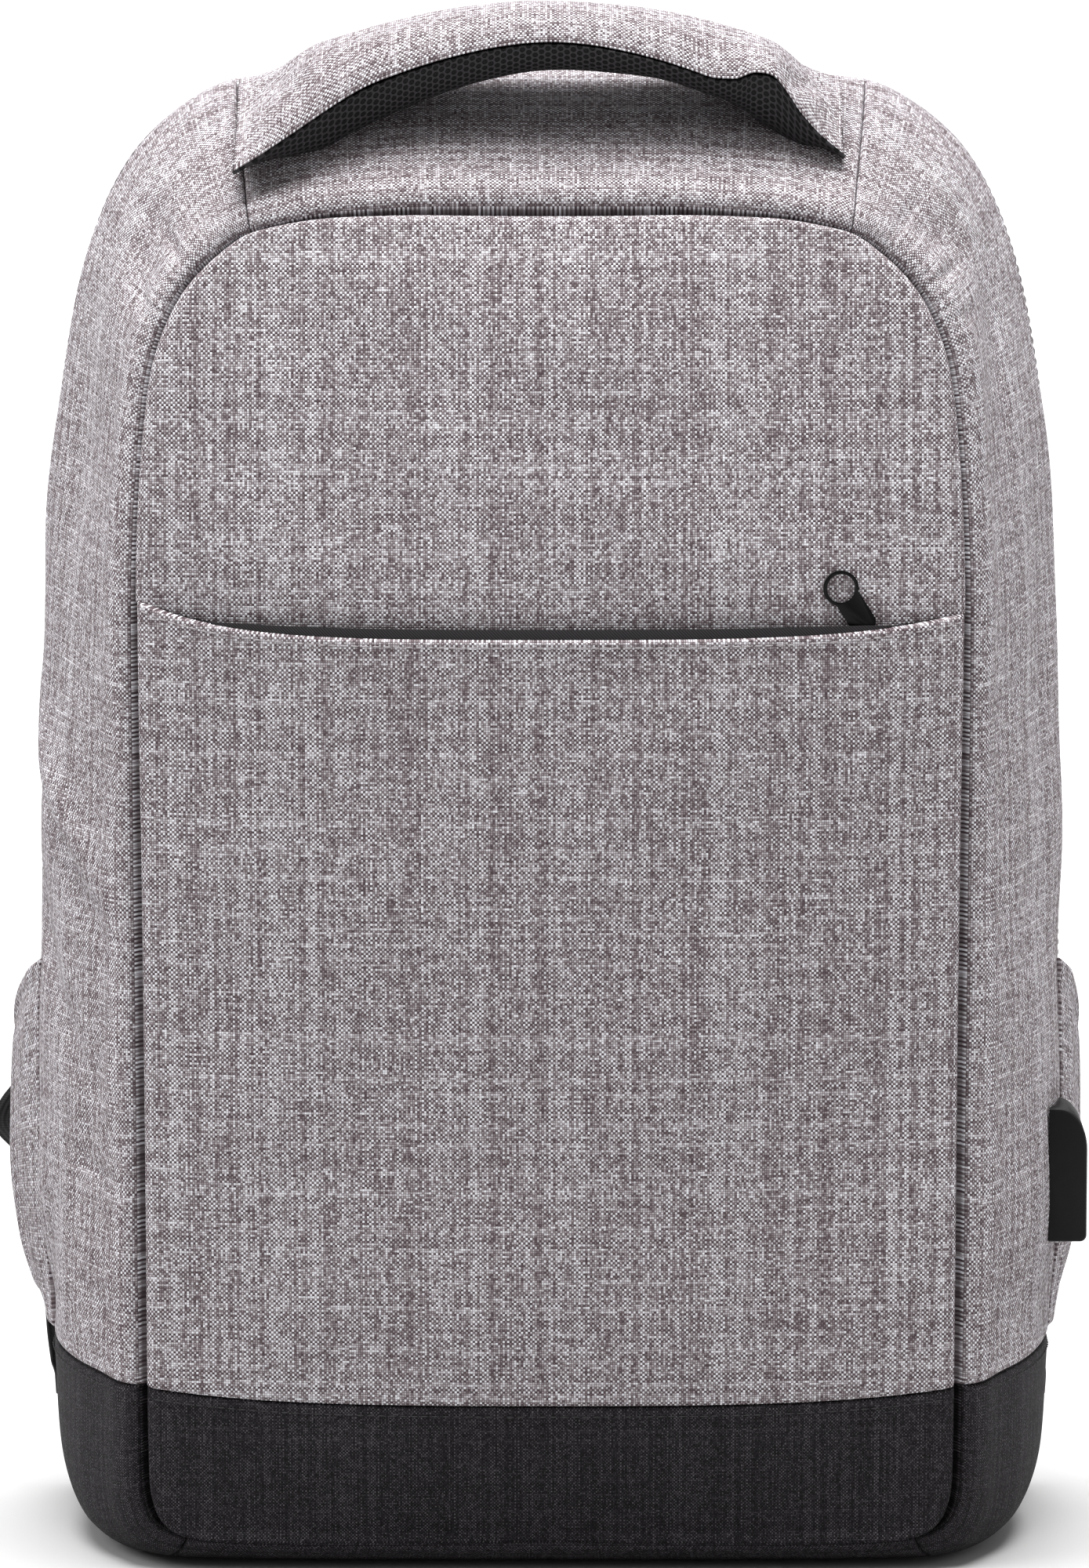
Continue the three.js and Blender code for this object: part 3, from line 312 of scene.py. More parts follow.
def mesh_object(name, points, faces, uv, material):
    """A smooth shaded object of points, faces of four and one UV pair for each point."""
    mesh = bpy.data.meshes.new(name)
    mesh.vertices.add(len(points))
    mesh.vertices.foreach_set("co", np.ascontiguousarray(points, np.float32).ravel())
    mesh.loops.add(faces.size)
    mesh.loops.foreach_set("vertex_index", faces.ravel().astype(np.int32))
    mesh.polygons.add(len(faces))
    mesh.polygons.foreach_set("loop_start", np.arange(0, faces.size, 4, dtype=np.int32))
    mesh.update(calc_edges=True)
    mesh.validate()
    layer = mesh.uv_layers.new(name="cloth")
    layer.data.foreach_set("uv", np.ascontiguousarray(uv[faces.ravel()], np.float32).ravel())
    mesh.shade_smooth()
    obj = bpy.data.objects.new(name, mesh)
    bpy.context.scene.collection.objects.link(obj)
    mesh.materials.append(material)
    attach(obj, "bag")
    return obj


def grid_faces(rows, columns, closed=False):
    """The faces of a grid, row by row; a closed one goes on from its last column to its first."""
    index = np.arange(rows * columns).reshape(rows, columns)
    if closed:
        index = np.concatenate([index, index[:, :1]], 1)
    corners = (index[:-1, :-1], index[1:, :-1], index[1:, 1:], index[:-1, 1:])
    return np.stack(corners, -1).reshape(-1, 4)


# An edge: the radius and depth of its roll and the gap that opens there, in mm, and how far it leans back
# as it goes down, so that two panels that meet at an angle roll into one groove
SEWN = (3.5, 2.4, 0.3, 0.4)
GROOVE = (6.5, 4.6, 0.5, 0.55)
HEM = (1.1, 0.8, 0.0, 0.0)
NARROW = (2.2, 1.3, 0.1, 0.0)
GAP_REACH = 1.5 * MM  # how far from its edge a gap still draws the cloth back
CALM_REACH = 12 * MM  # the unevenness fades towards an edge over this length
UNEVEN_SIZE = 70 * MM


def cloth(name, nodes, points, material, edges=(), lift=None, uneven=0.35, uv=None, turn_in=5.0, seed=1,
          middle=MIDDLE, slot="heather_cloth"):
    """Points moved out by lift, unevenness and the roll of the named edges (r and R the first and last row,
    c and C the first and last column), with a rim that turns in. A gap draws the cloth back from its edge,
    less and less away from it as an exponential does."""
    rows, columns = walked(points, 0), walked(points, 1)
    if uv is None:
        uv = np.stack([columns, np.broadcast_to(rows[:, [columns.shape[1] // 2]], rows.shape)], -1)
    out = np.zeros(rows.shape) if lift is None else np.array(lift, float)
    distances = {"r": rows, "R": rows[-1:] - rows, "c": columns, "C": columns[:, -1:] - columns}
    calm = np.ones(rows.shape)
    drawn = points.copy()
    for edge, (radius, depth, gap, lean) in dict(edges).items():
        sunk = roll(distances[edge], radius * MM, depth * MM)
        out -= sunk
        inward = np.gradient(points, axis=0 if edge in "rR" else 1) * (1 if edge in "rc" else -1)
        inward /= np.maximum(np.linalg.norm(inward, axis=-1, keepdims=True), 1e-12)
        drawn += inward * (gap * MM * np.exp(-distances[edge] / GAP_REACH) + lean * sunk)[..., None]
        calm = np.minimum(calm, np.clip(distances[edge] / CALM_REACH, 0, 1))
    out += uneven * MM * calm * waves(uv[..., 0], uv[..., 1], UNEVEN_SIZE, seed)
    n = normals(points, middle)
    moved = drawn + n * out[..., None]
    if turn_in:
        moved, n, uv = (np.pad(x, ((1, 1), (1, 1), (0, 0)), "edge") for x in (moved, n, uv))
        rim = np.ones(moved.shape[:2], bool)
        rim[1:-1, 1:-1] = False
        moved[rim] -= n[rim] * turn_in * MM
    faces = grid_faces(*moved.shape[:2])
    flat = moved.reshape(-1, 3)
    corner = flat[faces[:, :3]]
    turn = np.cross(corner[:, 1] - corner[:, 0], corner[:, 2] - corner[:, 0])
    if np.sum(turn * n.reshape(-1, 3)[faces[:, 0]]) < 0:
        faces = faces[:, ::-1]
    obj = mesh_object(name, flat, faces, uv.reshape(-1, 2), material)
    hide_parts(*nodes)
    return obj


def tube(name, paths, radius, material, sides=8, squash=1.0):
    """Round tubes along paths of points: rings of sides points at a right angle to the run, made lower by
    squash."""
    points, faces, uvs, start = [], [], [], 0
    angles = np.linspace(0, 2 * np.pi, sides, endpoint=False)
    for path in paths:
        run = np.gradient(path, axis=0)
        run /= np.linalg.norm(run, axis=1, keepdims=True)
        side = np.cross(run, [0.0, 1.0, 0.0])
        side /= np.maximum(np.linalg.norm(side, axis=1, keepdims=True), 1e-9)
        up = np.cross(side, run)
        ring = side[:, None] * np.cos(angles)[None, :, None]
        ring = ring + up[:, None] * np.sin(angles)[None, :, None] * squash
        points.append((path[:, None] + ring * radius).reshape(-1, 3))
        faces.append(grid_faces(len(path), sides, True) + start)
        along = np.broadcast_to(walked(path[:, None], 0), (len(path), sides))
        uvs.append(np.stack([np.broadcast_to(angles * radius, along.shape), along], -1).reshape(-1, 2))
        start += len(path) * sides
    flat = np.concatenate(points)
    obj = mesh_object(name, flat, np.concatenate(faces), np.concatenate(uvs), material)


def stitches(name, lines, material, pitch=3.1, length=2.3, radius=0.24):
    """Rows of thread: each stitch is a short bead whose radius is a root of a sine, bowed out of the cloth.
    A line is (points, normals)."""
    points, start, faces = [], 0, []
    t = np.linspace(0, 1, 7)
    angles = np.linspace(0, 2 * np.pi, 6, endpoint=False)
    for path, normal in lines:
        way = walked(path[:, None], 0)[:, 0]
        places = np.arange(pitch * MM / 2, way[-1], pitch * MM)
        at = np.stack([np.interp(places, way, path[:, k]) for k in range(3)], -1)
        out = np.stack([np.interp(places, way, normal[:, k]) for k in range(3)], -1)
        run = np.gradient(path, axis=0)
        run = np.stack([np.interp(places, way, run[:, k]) for k in range(3)], -1)
        run /= np.linalg.norm(run, axis=1, keepdims=True)
        side = np.cross(run, out)
        thick = radius * MM * np.sqrt(np.sin(np.pi * np.clip(t, 0.02, 0.98)))
        centre = at[:, None] + run[:, None] * (t[None, :, None] - 0.5) * length * MM
        centre = centre + out[:, None] * (np.sin(np.pi * t) * 0.6 * radius * MM)[None, :, None]
        ring = side[:, None] * np.cos(angles)[None, :, None] + out[:, None] * np.sin(angles)[None, :, None]
        body = centre[:, :, None] + ring[:, None] * thick[None, :, None, None]
        one = grid_faces(len(t), len(angles), True)
        count = len(t) * len(angles)
        faces.append((one[None] + (np.arange(len(at)) * count)[:, None, None]).reshape(-1, 4) + start)
        points.append(body.reshape(-1, 3))
        start += len(at) * count
    flat = np.concatenate(points)
    obj = mesh_object(name, flat, np.concatenate(faces), flat[:, :2], material)


# %% [markdown]
# ## Materials
# The grey cloth is a plain weave of dark and pale yarns that vary in tone along their length, and so has
# short streaks both ways. Painted shade makes the yarns' sides and the gaps between them darker than their
# tops. It could be drawn in an image, but a formula of the UV lengths keeps the yarns at one width on every
# panel. The black cloth is the same weave in darker tones with less contrast.

# %% Shader helpers
def new_material(name, color, roughness, metallic=0.0, specular=0.15):
    """A material with the main shader's plain numbers set on its own sockets."""
    material = bpy.data.materials.new(name)
    material.use_nodes = True
    shader = material.node_tree.nodes["Principled BSDF"]
    shader.inputs["Base Color"].default_value = (*color, 1)
    shader.inputs["Roughness"].default_value = roughness
    shader.inputs["Metallic"].default_value = metallic
    shader.inputs["Specular IOR Level"].default_value = specular
    return material, material.node_tree, shader


def wire(tree, kind, *values, **settings):
    """A shader node with its settings, and its inputs linked or set in order."""
    node = tree.nodes.new(kind)
    for key, value in settings.items():
        setattr(node, key, value)
    for socket, value in zip(node.inputs, values):
        if isinstance(value, bpy.types.NodeSocket):
            tree.links.new(value, socket)
        elif value is not None:
            socket.default_value = value
    return node


def maths(tree, operation, a, b=0.0, c=0.0):
    """The result of one Math node."""
    return wire(tree, "ShaderNodeMath", a, b, c, operation=operation).outputs[0]


def noise(tree, vector, scale, detail=2.0):
    """Values about 0.5 of a noise texture."""
    node = wire(tree, "ShaderNodeTexNoise", vector)
    node.inputs["Scale"].default_value = scale
    node.inputs["Detail"].default_value = detail
    return node.outputs["Fac"]


def ramp(tree, value, stops):
    """Colours at places from 0 to 1."""
    node = wire(tree, "ShaderNodeValToRGB", value)
    while len(node.color_ramp.elements) < len(stops):
        node.color_ramp.elements.new(0.5)
    for element, (place, color) in zip(node.color_ramp.elements, stops):
        element.position = place
        element.color = (*color, 1)
    return node.outputs[0]


def bump(tree, shader, height, distance):
    """Small relief, in metres, on the shader's normal."""
    node = tree.nodes.new("ShaderNodeBump")
    node.inputs["Distance"].default_value = distance
    tree.links.new(height, node.inputs["Height"])
    tree.links.new(node.outputs[0], shader.inputs["Normal"])


def lengths(tree):
    """The UV map's two lengths in metres."""
    node = wire(tree, "ShaderNodeUVMap", uv_map="cloth")
    parts = wire(tree, "ShaderNodeSeparateXYZ", node.outputs[0])
    return parts.outputs[0], parts.outputs[1]


YARNS_APART = 5.37  # neighbouring yarns lie this far apart in the noise, so that their tones share nothing
STREAK_SCALE, CROSSING_SCALE = 0.055, 2.3
OWN_TONE, STREAK_TONE, CROSSING_TONE = 0.19, 0.22, 0.8  # how much each kind of variation counts
CHECK = 0.2  # the warp is this much paler than the weft
MEAN_TONE = (OWN_TONE + STREAK_TONE + CROSSING_TONE + CHECK) / 2
CROWN_MEAN, CROWN_PAINTED_SHADE = 0.7, 0.45  # painted shade: the yarns' tops are painted paler than their sides and the gaps between them
WEAVE_RELIEF = 0.22 * MM


def yarns(tree, across, along, seed):
    """The tone of one set of yarns: a weighted sum of one random value for each yarn, slow streaks along it
    and a value for each place where it crosses another."""
    number = maths(tree, "FLOOR", across)
    apart = maths(tree, "MULTIPLY", number, YARNS_APART)
    own = wire(tree, "ShaderNodeTexWhiteNoise", noise_dimensions="1D")
    tree.links.new(maths(tree, "ADD", number, seed), own.inputs["W"])
    place = wire(tree, "ShaderNodeCombineXYZ", apart, along, seed)
    streak = noise(tree, place.outputs[0], STREAK_SCALE, 1.0)
    crossing = wire(tree, "ShaderNodeCombineXYZ", apart, maths(tree, "FLOOR", along), seed)
    fine = noise(tree, crossing.outputs[0], CROSSING_SCALE, 1.0)
    streaks = maths(tree, "MULTIPLY", streak, STREAK_TONE)
    total = maths(tree, "MULTIPLY_ADD", own.outputs["Value"], OWN_TONE, streaks)
    return maths(tree, "MULTIPLY_ADD", fine, CROSSING_TONE, total)


def weave(name, stops, contrast, roughness, yarn=YARN):
    """A plain weave: squares of one yarn's width where warp and weft take turns on top, each rounded by a
    cosine over its width, with the tones of its yarns and painted shade that darkens their sides and gaps."""
    material, tree, shader = new_material(name, stops[len(stops) // 2][1], roughness)
    u, v = lengths(tree)
    cu, cv = maths(tree, "DIVIDE", u, yarn), maths(tree, "DIVIDE", v, yarn)
    warp, weft = yarns(tree, cu, cv, 3.0), yarns(tree, cv, cu, 71.0)
    turn = maths(tree, "ADD", maths(tree, "FLOOR", cu), maths(tree, "FLOOR", cv))
    over = maths(tree, "ABSOLUTE", maths(tree, "MODULO", turn, 2.0))

    def crown(c):
        """The height across one yarn: a cosine of the way from its middle."""
        centred = maths(tree, "SUBTRACT", maths(tree, "FRACT", c), 0.5)
        return maths(tree, "COSINE", maths(tree, "MULTIPLY", centred, math.pi))

    high_u, high_v = crown(cu), crown(cv)
    warp_high = maths(tree, "MULTIPLY", high_u, maths(tree, "MULTIPLY_ADD", high_v, 0.5, 0.5))
    weft_high = maths(tree, "MULTIPLY", high_v, maths(tree, "MULTIPLY_ADD", high_u, 0.5, 0.5))
    tone = tree.nodes.new("ShaderNodeMix")
    for socket, value in ((0, over), (2, weft), (3, warp)):
        tree.links.new(value, tone.inputs[socket])
    height = tree.nodes.new("ShaderNodeMix")
    for socket, value in ((0, over), (2, weft_high), (3, warp_high)):
        tree.links.new(value, height.inputs[socket])
    check = maths(tree, "MULTIPLY_ADD", over, CHECK, tone.outputs[0])
    centred = maths(tree, "SUBTRACT", check, MEAN_TONE)
    share = maths(tree, "MULTIPLY_ADD", centred, contrast, 0.5)
    # painted shade: the tone falls where a yarn's height is low, at its sides and between yarns
    crowned = maths(tree, "SUBTRACT", height.outputs[0], CROWN_MEAN)
    edge = maths(tree, "MULTIPLY_ADD", crowned, CROWN_PAINTED_SHADE, share)
    tree.links.new(ramp(tree, edge, stops), shader.inputs["Base Color"])
    bump(tree, shader, height.outputs[0], WEAVE_RELIEF)
    return material


# %% The materials
def twill(name, color, pitch, depth, roughness=0.8):
    """Diagonal ribs: a sine of the sum of both lengths, with painted shade in the hollows and painted light
    on the tops.
    """
    material, tree, shader = new_material(name, color, roughness)
    u, v = lengths(tree)
    phase = maths(tree, "MULTIPLY", maths(tree, "ADD", u, v), 2 * math.pi / pitch)
    height = maths(tree, "MULTIPLY_ADD", maths(tree, "SINE", phase), 0.5, 0.5)
    # painted shade and painted light: the colour is halved in the hollows and raised by half on the ribs'
    # tops
    painted_rib_shades = [(0, tuple(c * 0.5 for c in color)), (1, tuple(c * 1.5 for c in color))]
    tree.links.new(ramp(tree, height, painted_rib_shades), shader.inputs["Base Color"])
    bump(tree, shader, height, depth)
    return material


def ribbed(name, color, pitch, depth, roughness=0.7):
    """Ribs along a strap: a cosine across it, with fine cross lines, painted shade in the hollows and painted
    light on the tops.
    """
    material, tree, shader = new_material(name, color, roughness)
    u, v = lengths(tree)
    rib = maths(tree, "COSINE", maths(tree, "MULTIPLY", u, 2 * math.pi / pitch))
    line = maths(tree, "COSINE", maths(tree, "MULTIPLY", v, 4 * math.pi / pitch))
    height = maths(tree, "MULTIPLY_ADD", maths(tree, "MULTIPLY_ADD", line, 0.4, rib), 0.3, 0.5)
    # painted shade and painted light: the colour is halved in the hollows and raised on the ribs' tops
    painted_rib_shades = [(0, tuple(c * 0.5 for c in color)), (1, tuple(c * 1.6 for c in color))]
    tree.links.new(ramp(tree, height, painted_rib_shades), shader.inputs["Base Color"])
    bump(tree, shader, height, depth)
    return material


ROW_APART = 0.87  # rows of holes that are set off lie closer than the holes in a row
HOLE_EDGE = (0.26, 0.4)  # a hole's slope, as shares of the pitch from its middle
HOLE_DEPTH = 0.6 * MM


def holed(name, pitch, thread, hole):
    """Air mesh: round holes in rows that are set off by half a pitch. The distance to the hole's middle gives
    the colour and the height; the holes' colour is painted shade in their depth."""
    material, tree, shader = new_material(name, thread, 0.6)
    u, v = lengths(tree)
    row = maths(tree, "DIVIDE", v, pitch * ROW_APART)
    shift = maths(tree, "MULTIPLY", maths(tree, "MODULO", maths(tree, "FLOOR", row), 2.0), 0.5)
    across = maths(tree, "ADD", maths(tree, "DIVIDE", u, pitch), shift)
    x = maths(tree, "SUBTRACT", maths(tree, "FRACT", across), 0.5)
    upward = maths(tree, "SUBTRACT", maths(tree, "FRACT", row), 0.5)
    y = maths(tree, "MULTIPLY", upward, ROW_APART)
    square = maths(tree, "MULTIPLY_ADD", x, x, maths(tree, "MULTIPLY", y, y))
    away = maths(tree, "SQRT", square)
    height = wire(tree, "ShaderNodeMapRange", away, *HOLE_EDGE, 0.0, 1.0).outputs[0]
    # painted shade: the holes are far darker than the thread, for the shade inside them
    tree.links.new(ramp(tree, height, [(0, hole), (1, thread)]), shader.inputs["Base Color"])
    bump(tree, shader, height, HOLE_DEPTH)
    return material


PLAIN_SHINE, METAL_SHINE = 0.14, 0.5
PATCH = 12  # patches of gloss are this much larger than the grain
UNEVEN_GLOSS = 0.08  # how far the roughness strays to either side


def moulded(name, color, roughness, metallic, grain, depth):
    """A plain finish. Fine noise in the object's own coordinates gives its grain, slow noise its gloss."""
    specular = METAL_SHINE if metallic else PLAIN_SHINE
    material, tree, shader = new_material(name, color, roughness, metallic, specular)
    place = tree.nodes.new("ShaderNodeTexCoord").outputs["Object"]
    value = noise(tree, place, grain, 3.0)
    bump(tree, shader, value, depth)
    slow = noise(tree, place, grain / PATCH)
    gloss = maths(tree, "MULTIPLY_ADD", slow, 2 * UNEVEN_GLOSS, roughness - UNEVEN_GLOSS)
    tree.links.new(gloss, shader.inputs["Roughness"])
    return material


heather = weave(
    "heather_cloth",
    [
        (0.0, (0.078, 0.056, 0.062)),
        (0.3, (0.17, 0.138, 0.146)),
        (0.55, (0.335, 0.303, 0.318)),
        (1.0, (0.8, 0.8, 0.84)),
    ],
    2.35,
    0.92,
)
black_cloth = weave(
    "black_cloth",
    [(0.0, (0.0035, 0.0028, 0.0034)), (0.5, (0.0145, 0.0123, 0.0148)), (1.0, (0.1, 0.092, 0.1))],
    1.7,
    0.72,
    yarn=BLACK_YARN,
)
tape_cloth = twill("zip_tape", (0.012, 0.011, 0.012), 0.9 * MM, 0.12 * MM)
coil_plastic = twill("zip_coil", (0.02, 0.02, 0.021), 1.4 * MM, 0.35 * MM, 0.45)
webbing = ribbed("webbing", (0.018, 0.017, 0.018), 1.6 * MM, 0.2 * MM)
# the holes' near black is painted shade
air_mesh = holed("air_mesh", 2.1 * MM, (0.03, 0.028, 0.03), (0.003, 0.003, 0.003))
grey_thread = moulded("grey_thread", (0.3, 0.28, 0.29), 0.7, 0.0, 2500, 0.05 * MM)
black_thread = moulded("black_thread", (0.03, 0.028, 0.03), 0.6, 0.0, 2500, 0.05 * MM)
black_plastic = moulded("black_plastic", (0.006, 0.0055, 0.006), 0.5, 0.0, 2200, 0.05 * MM)
zip_metal = moulded("zip_metal", (0.002, 0.002, 0.002), 0.3, 0.0, 900, 0.03 * MM)
socket_metal = moulded("socket_metal", (0.6, 0.6, 0.6), 0.32, 1.0, 900, 0.02 * MM)
print("materials", sorted(m.name for m in bpy.data.materials))

# %% [markdown]
# ## The front
# Three panels lie one over the other: the upper panel, the pocket whose folded hem stands off it, and the
# black band along the bottom. Each rolls into its seams, as turned in cloth does, and a flat sheet would not.

# %% Front panels
ACROSS = spaced(-1, 1, 170)[None, :]


def flat_uv(points):
    """Width and height as lengths of the cloth."""
    return points[..., [0, 2]].copy()


STAND_FROM = 6  # the station where the pocket leaves the panel behind it


def pocket_stand(s):
    """The pocket stands off more and more towards its hem, as a power of the way up."""
    return POCKET_STAND * np.clip((s - STAND_FROM) / (SLIT - STAND_FROM), 0, 1) ** 1.5


s_upper = spaced(SLIT, CROSS_SEAM, 130)[:, None]
upper = front(ACROSS, s_upper)
cloth("upper_front", ["front_upper_panel"], upper, heather, {"c": GROOVE, "C": GROOVE, "R": GROOVE},
      uv=flat_uv(upper), seed=3, uneven=0.5)
s_pocket = spaced(BAND_TOP, SLIT, 170)[:, None]
pocket = front(ACROSS, s_pocket, pocket_stand(s_pocket))
cloth("pocket_front", ["pocket_panel"], pocket, heather, {"c": GROOVE, "C": GROOVE, "r": NARROW, "R": HEM},
      uv=flat_uv(pocket), seed=5, uneven=0.5, turn_in=2.6)
band = front(ACROSS, spaced(BASE_END, BAND_TOP, 90)[:, None])
band_edges = {"c": GROOVE, "C": GROOVE, "R": NARROW, "r": SEWN}
cloth("band_front", ["pocket_base_panel"], band, black_cloth, band_edges, uv=flat_uv(band), seed=7,
      slot="black_cloth")

# %% [markdown]
# ## The pocket's zip
# The tape shows as a thin black line above the hem. Its slider and pull are the frame's own shapes with their
# edges rounded, because a stamped part has no sharp edge.

# %% Zip tapes, slider and pull
def strip(low, high, span, surface, count=120):
    """A strip along the slit between two heights over the hem line."""
    a = np.linspace(-span, span, count)[None, :]
    return np.concatenate([surface(a, rise(a)) for rise in (low, high)], 0)


BELOW_SLIT = 0.1
slit_step = smooth(STATIONS[:, 1], float(SLIT)) - smooth(STATIONS[:, 1], SLIT - BELOW_SLIT)
STATION_RISE = slit_step / BELOW_SLIT * body_height  # how much a station climbs just below the slit
TAPE_SPAN, TAPE_WALL, TAPE_RISE, TAPE_LOW = 0.8, 0.8 * MM, 2.1 * MM, -8 * MM
BACK_TAPE_SPAN, BACK_TAPE_HIGH, BACK_TAPE_LOW = 0.84, -1.5 * MM, -15 * MM


def behind_hem(a, rise):
    """A place behind the hem, or above it where rise is positive."""
    s = np.broadcast_to(SLIT + np.minimum(rise, 0) / STATION_RISE, a.shape)
    point = front(a, s, pocket_stand(s))
    point[..., 1] += CLOTH + 2 * SEAM
    point[..., 2] += np.maximum(rise, 0)
    return point


def below_panel(a, rise):
    """A place straight below the upper panel's edge."""
    point = front(a, np.full(a.shape, float(SLIT)))
    point[..., 2] += rise
    return point


def tape_top(a):
    """The tape shows evenly and dips behind the hem at both ends, as a sixth power."""
    return TAPE_RISE * (1 - (a / TAPE_SPAN) ** 6) + TAPE_WALL


def level(height):
    """One height everywhere along the strip."""
    return lambda a: np.full(a.shape, height)


tape = strip(level(TAPE_LOW), tape_top, TAPE_SPAN, behind_hem)
cloth("pocket_tape_front", ["pocket_tape_lower"], tape, tape_cloth, uneven=0, turn_in=0.8, slot="zip_tape")
tape = strip(level(BACK_TAPE_LOW), level(BACK_TAPE_HIGH), BACK_TAPE_SPAN, below_panel)
cloth("pocket_tape_back", ["pocket_tape_upper"], tape, tape_cloth, uneven=0, turn_in=1.5, slot="zip_tape")


MERGE = 1e-5
SHARP = math.radians(35)  # edges that turn by more are rounded


def hard(name, node, material, bevel, body="bag"):
    """A copy of a hard piece of the frame with its edges rounded by a bevel, whose width is in mm."""
    mesh = bag[node].data.copy()
    mesh.materials.clear()
    mesh.materials.append(material)
    obj = bpy.data.objects.new(name, mesh)
    bpy.context.scene.collection.objects.link(obj)
    rounded = {"width": bevel * MM, "segments": 2, "limit_method": "ANGLE", "angle_limit": SHARP}
    rounded["harden_normals"] = True
    for kind, settings in (("WELD", {"merge_threshold": MERGE}), ("BEVEL", rounded)):
        modifier = obj.modifiers.new(kind.lower(), kind)
        for key, value in settings.items():
            setattr(modifier, key, value)
    mesh.shade_smooth()
    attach(obj, body)
    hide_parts(node)


hard("zip_pull", "pocket_zip_pull", zip_metal, 0.22, "zip_pull")
hard("zip_slider", "pocket_zip_slider", zip_metal, 0.2)

# %% [markdown]
# ## The gusset
# The sides and the top are one long strip on the real bag, cut at two cross seams where the handle's ends go
# in. The lower corners and the base are black.

# %% Sides, top, corners and base
SWELL, SWELL_AT, SWELL_WIDTH = 1.5 * MM, 9 * MM, 7 * MM  # the gusset swells beside the front seam
FOLD_STRENGTH = 1.5
PUCKER, PUCKER_OFTEN, PUCKER_REACH, PUCKER_START = 0.25 * MM, 46, 0.1, 0.03  # small puckers along that seam
CORNER_AT, CORNER_LONG = 10.2, 1.3  # they lie round the upper corners, at these stations


def gusset_cloth(name, node, places, material, edges, slot, count=110, **more):
    """A piece of the gusset between two stations, with its folds pressed in. The swell and the puckers' place
    are bells, and the puckers a sine along the seam."""
    place, across = places[:, None], spaced(0, 1, count)[None, :]
    points = gusset(place, across)
    ripple = np.sin(np.abs(place) * PUCKER_OFTEN + 2 * across)
    pucker = ripple * np.exp(-((across / PUCKER_REACH) ** 2)) * PUCKER
    corner = np.exp(-(((np.abs(place) - CORNER_AT) / CORNER_LONG) ** 2))
    beside = walked(points, 1) - SWELL_AT
    swell = SWELL * np.exp(-((beside / SWELL_WIDTH) ** 2))
    begun = np.clip(across / PUCKER_START, 0, 1)
    lift = swell - fold_depth(place, across) * FOLD_STRENGTH + pucker * corner * begun
    return cloth(name, [node], points, material, edges, lift=lift, slot=slot, **more)


SIDE_EDGES = {"c": GROOVE, "C": NARROW, "r": NARROW, "R": NARROW}
for name, side in (("left", -1), ("right", 1)):
    places = side * spaced(BAND_TOP, CROSS_SEAM, 300, 0.5)
    gusset_cloth("side_" + name, "side_gusset_" + name, places, heather, SIDE_EDGES, "heather_cloth",
                 seed=20 + side, uneven=0.6)
    places = side * spaced(BASE_END, BAND_TOP, 110, 0.5)
    gusset_cloth("corner_" + name, "base_gusset_" + name, places, black_cloth, SIDE_EDGES, "black_cloth",
                 seed=30 + side, uneven=0.25)
half_top = spaced(CROSS_SEAM, TOP_MIDDLE, 70, 0.3)
top_places = np.concatenate([-half_top, half_top[-2::-1]])
gusset_cloth("top", "top_gusset", top_places, heather, SIDE_EDGES, "heather_cloth", seed=41)
base_places = np.linspace(-BASE_END, BASE_END, 90)
gusset_cloth("base", "base_panel", base_places, black_cloth, {"c": SEWN, "C": SEWN}, "black_cloth", count=60,
             uneven=0)
loop = np.concatenate([
    np.linspace(-TOP_MIDDLE, -BASE_END, 420),
    np.linspace(0.1 - BASE_END, BASE_END - 0.1, 60),
    np.linspace(BASE_END, TOP_MIDDLE, 420),
])
rear = gusset(loop[:, None], spaced(1, 2, 40, 0.5)[None, :])
cloth("rear_rim", ["rear_gusset"], rear, heather, {"c": NARROW, "C": HEM}, uneven=0.25, seed=43, turn_in=2.0)

# %% [markdown]
# ## Side pockets and the charging socket
# A side pocket is a piece of the same cloth, sewn on at three sides, that swells away from the side. The
# socket has a moulded housing, so it keeps the frame's shape with rounded edges.

# %% Side pockets and socket
POCKET_HIGH, POCKET_WALL, POCKET_SLANT = 112 * MM, 1.5 * MM, 0.38
POCKET_SWELL = {"left": 9 * MM, "right": 6 * MM}
POCKET_ROWS = [(0, 0), (0.1, 0.5), (0.25, 0.85), (0.5, 1), (0.75, 0.95), (0.92, 0.85), (1, 0.8)]
POCKET_FRONT, POCKET_BACK = 0.75, 1.6  # its front and back edge, as shares across the gusset
POCKET_SEWN = 0.3  # its wall rises to full thickness where the sine across reaches this
PLEAT, PLEAT_AT, PLEAT_WIDE = 0.7 * MM, 0.93, 0.03  # the dent of the seam below its hem


def gusset_out(place, across, lift):
    """Gusset points moved out along the cross product of two short central differences."""
    step = 0.02
    point = gusset(place, across)
    run = gusset(place, across + step) - gusset(place, across - step)
    along = gusset(place + step, across) - gusset(place - step, across)
    out = np.cross(run, along)
    out /= np.linalg.norm(out, axis=-1, keepdims=True)
    out *= np.sign(np.sum(out * (point - MIDDLE), -1, keepdims=True))
    return point + out * np.asarray(lift)[..., None], out


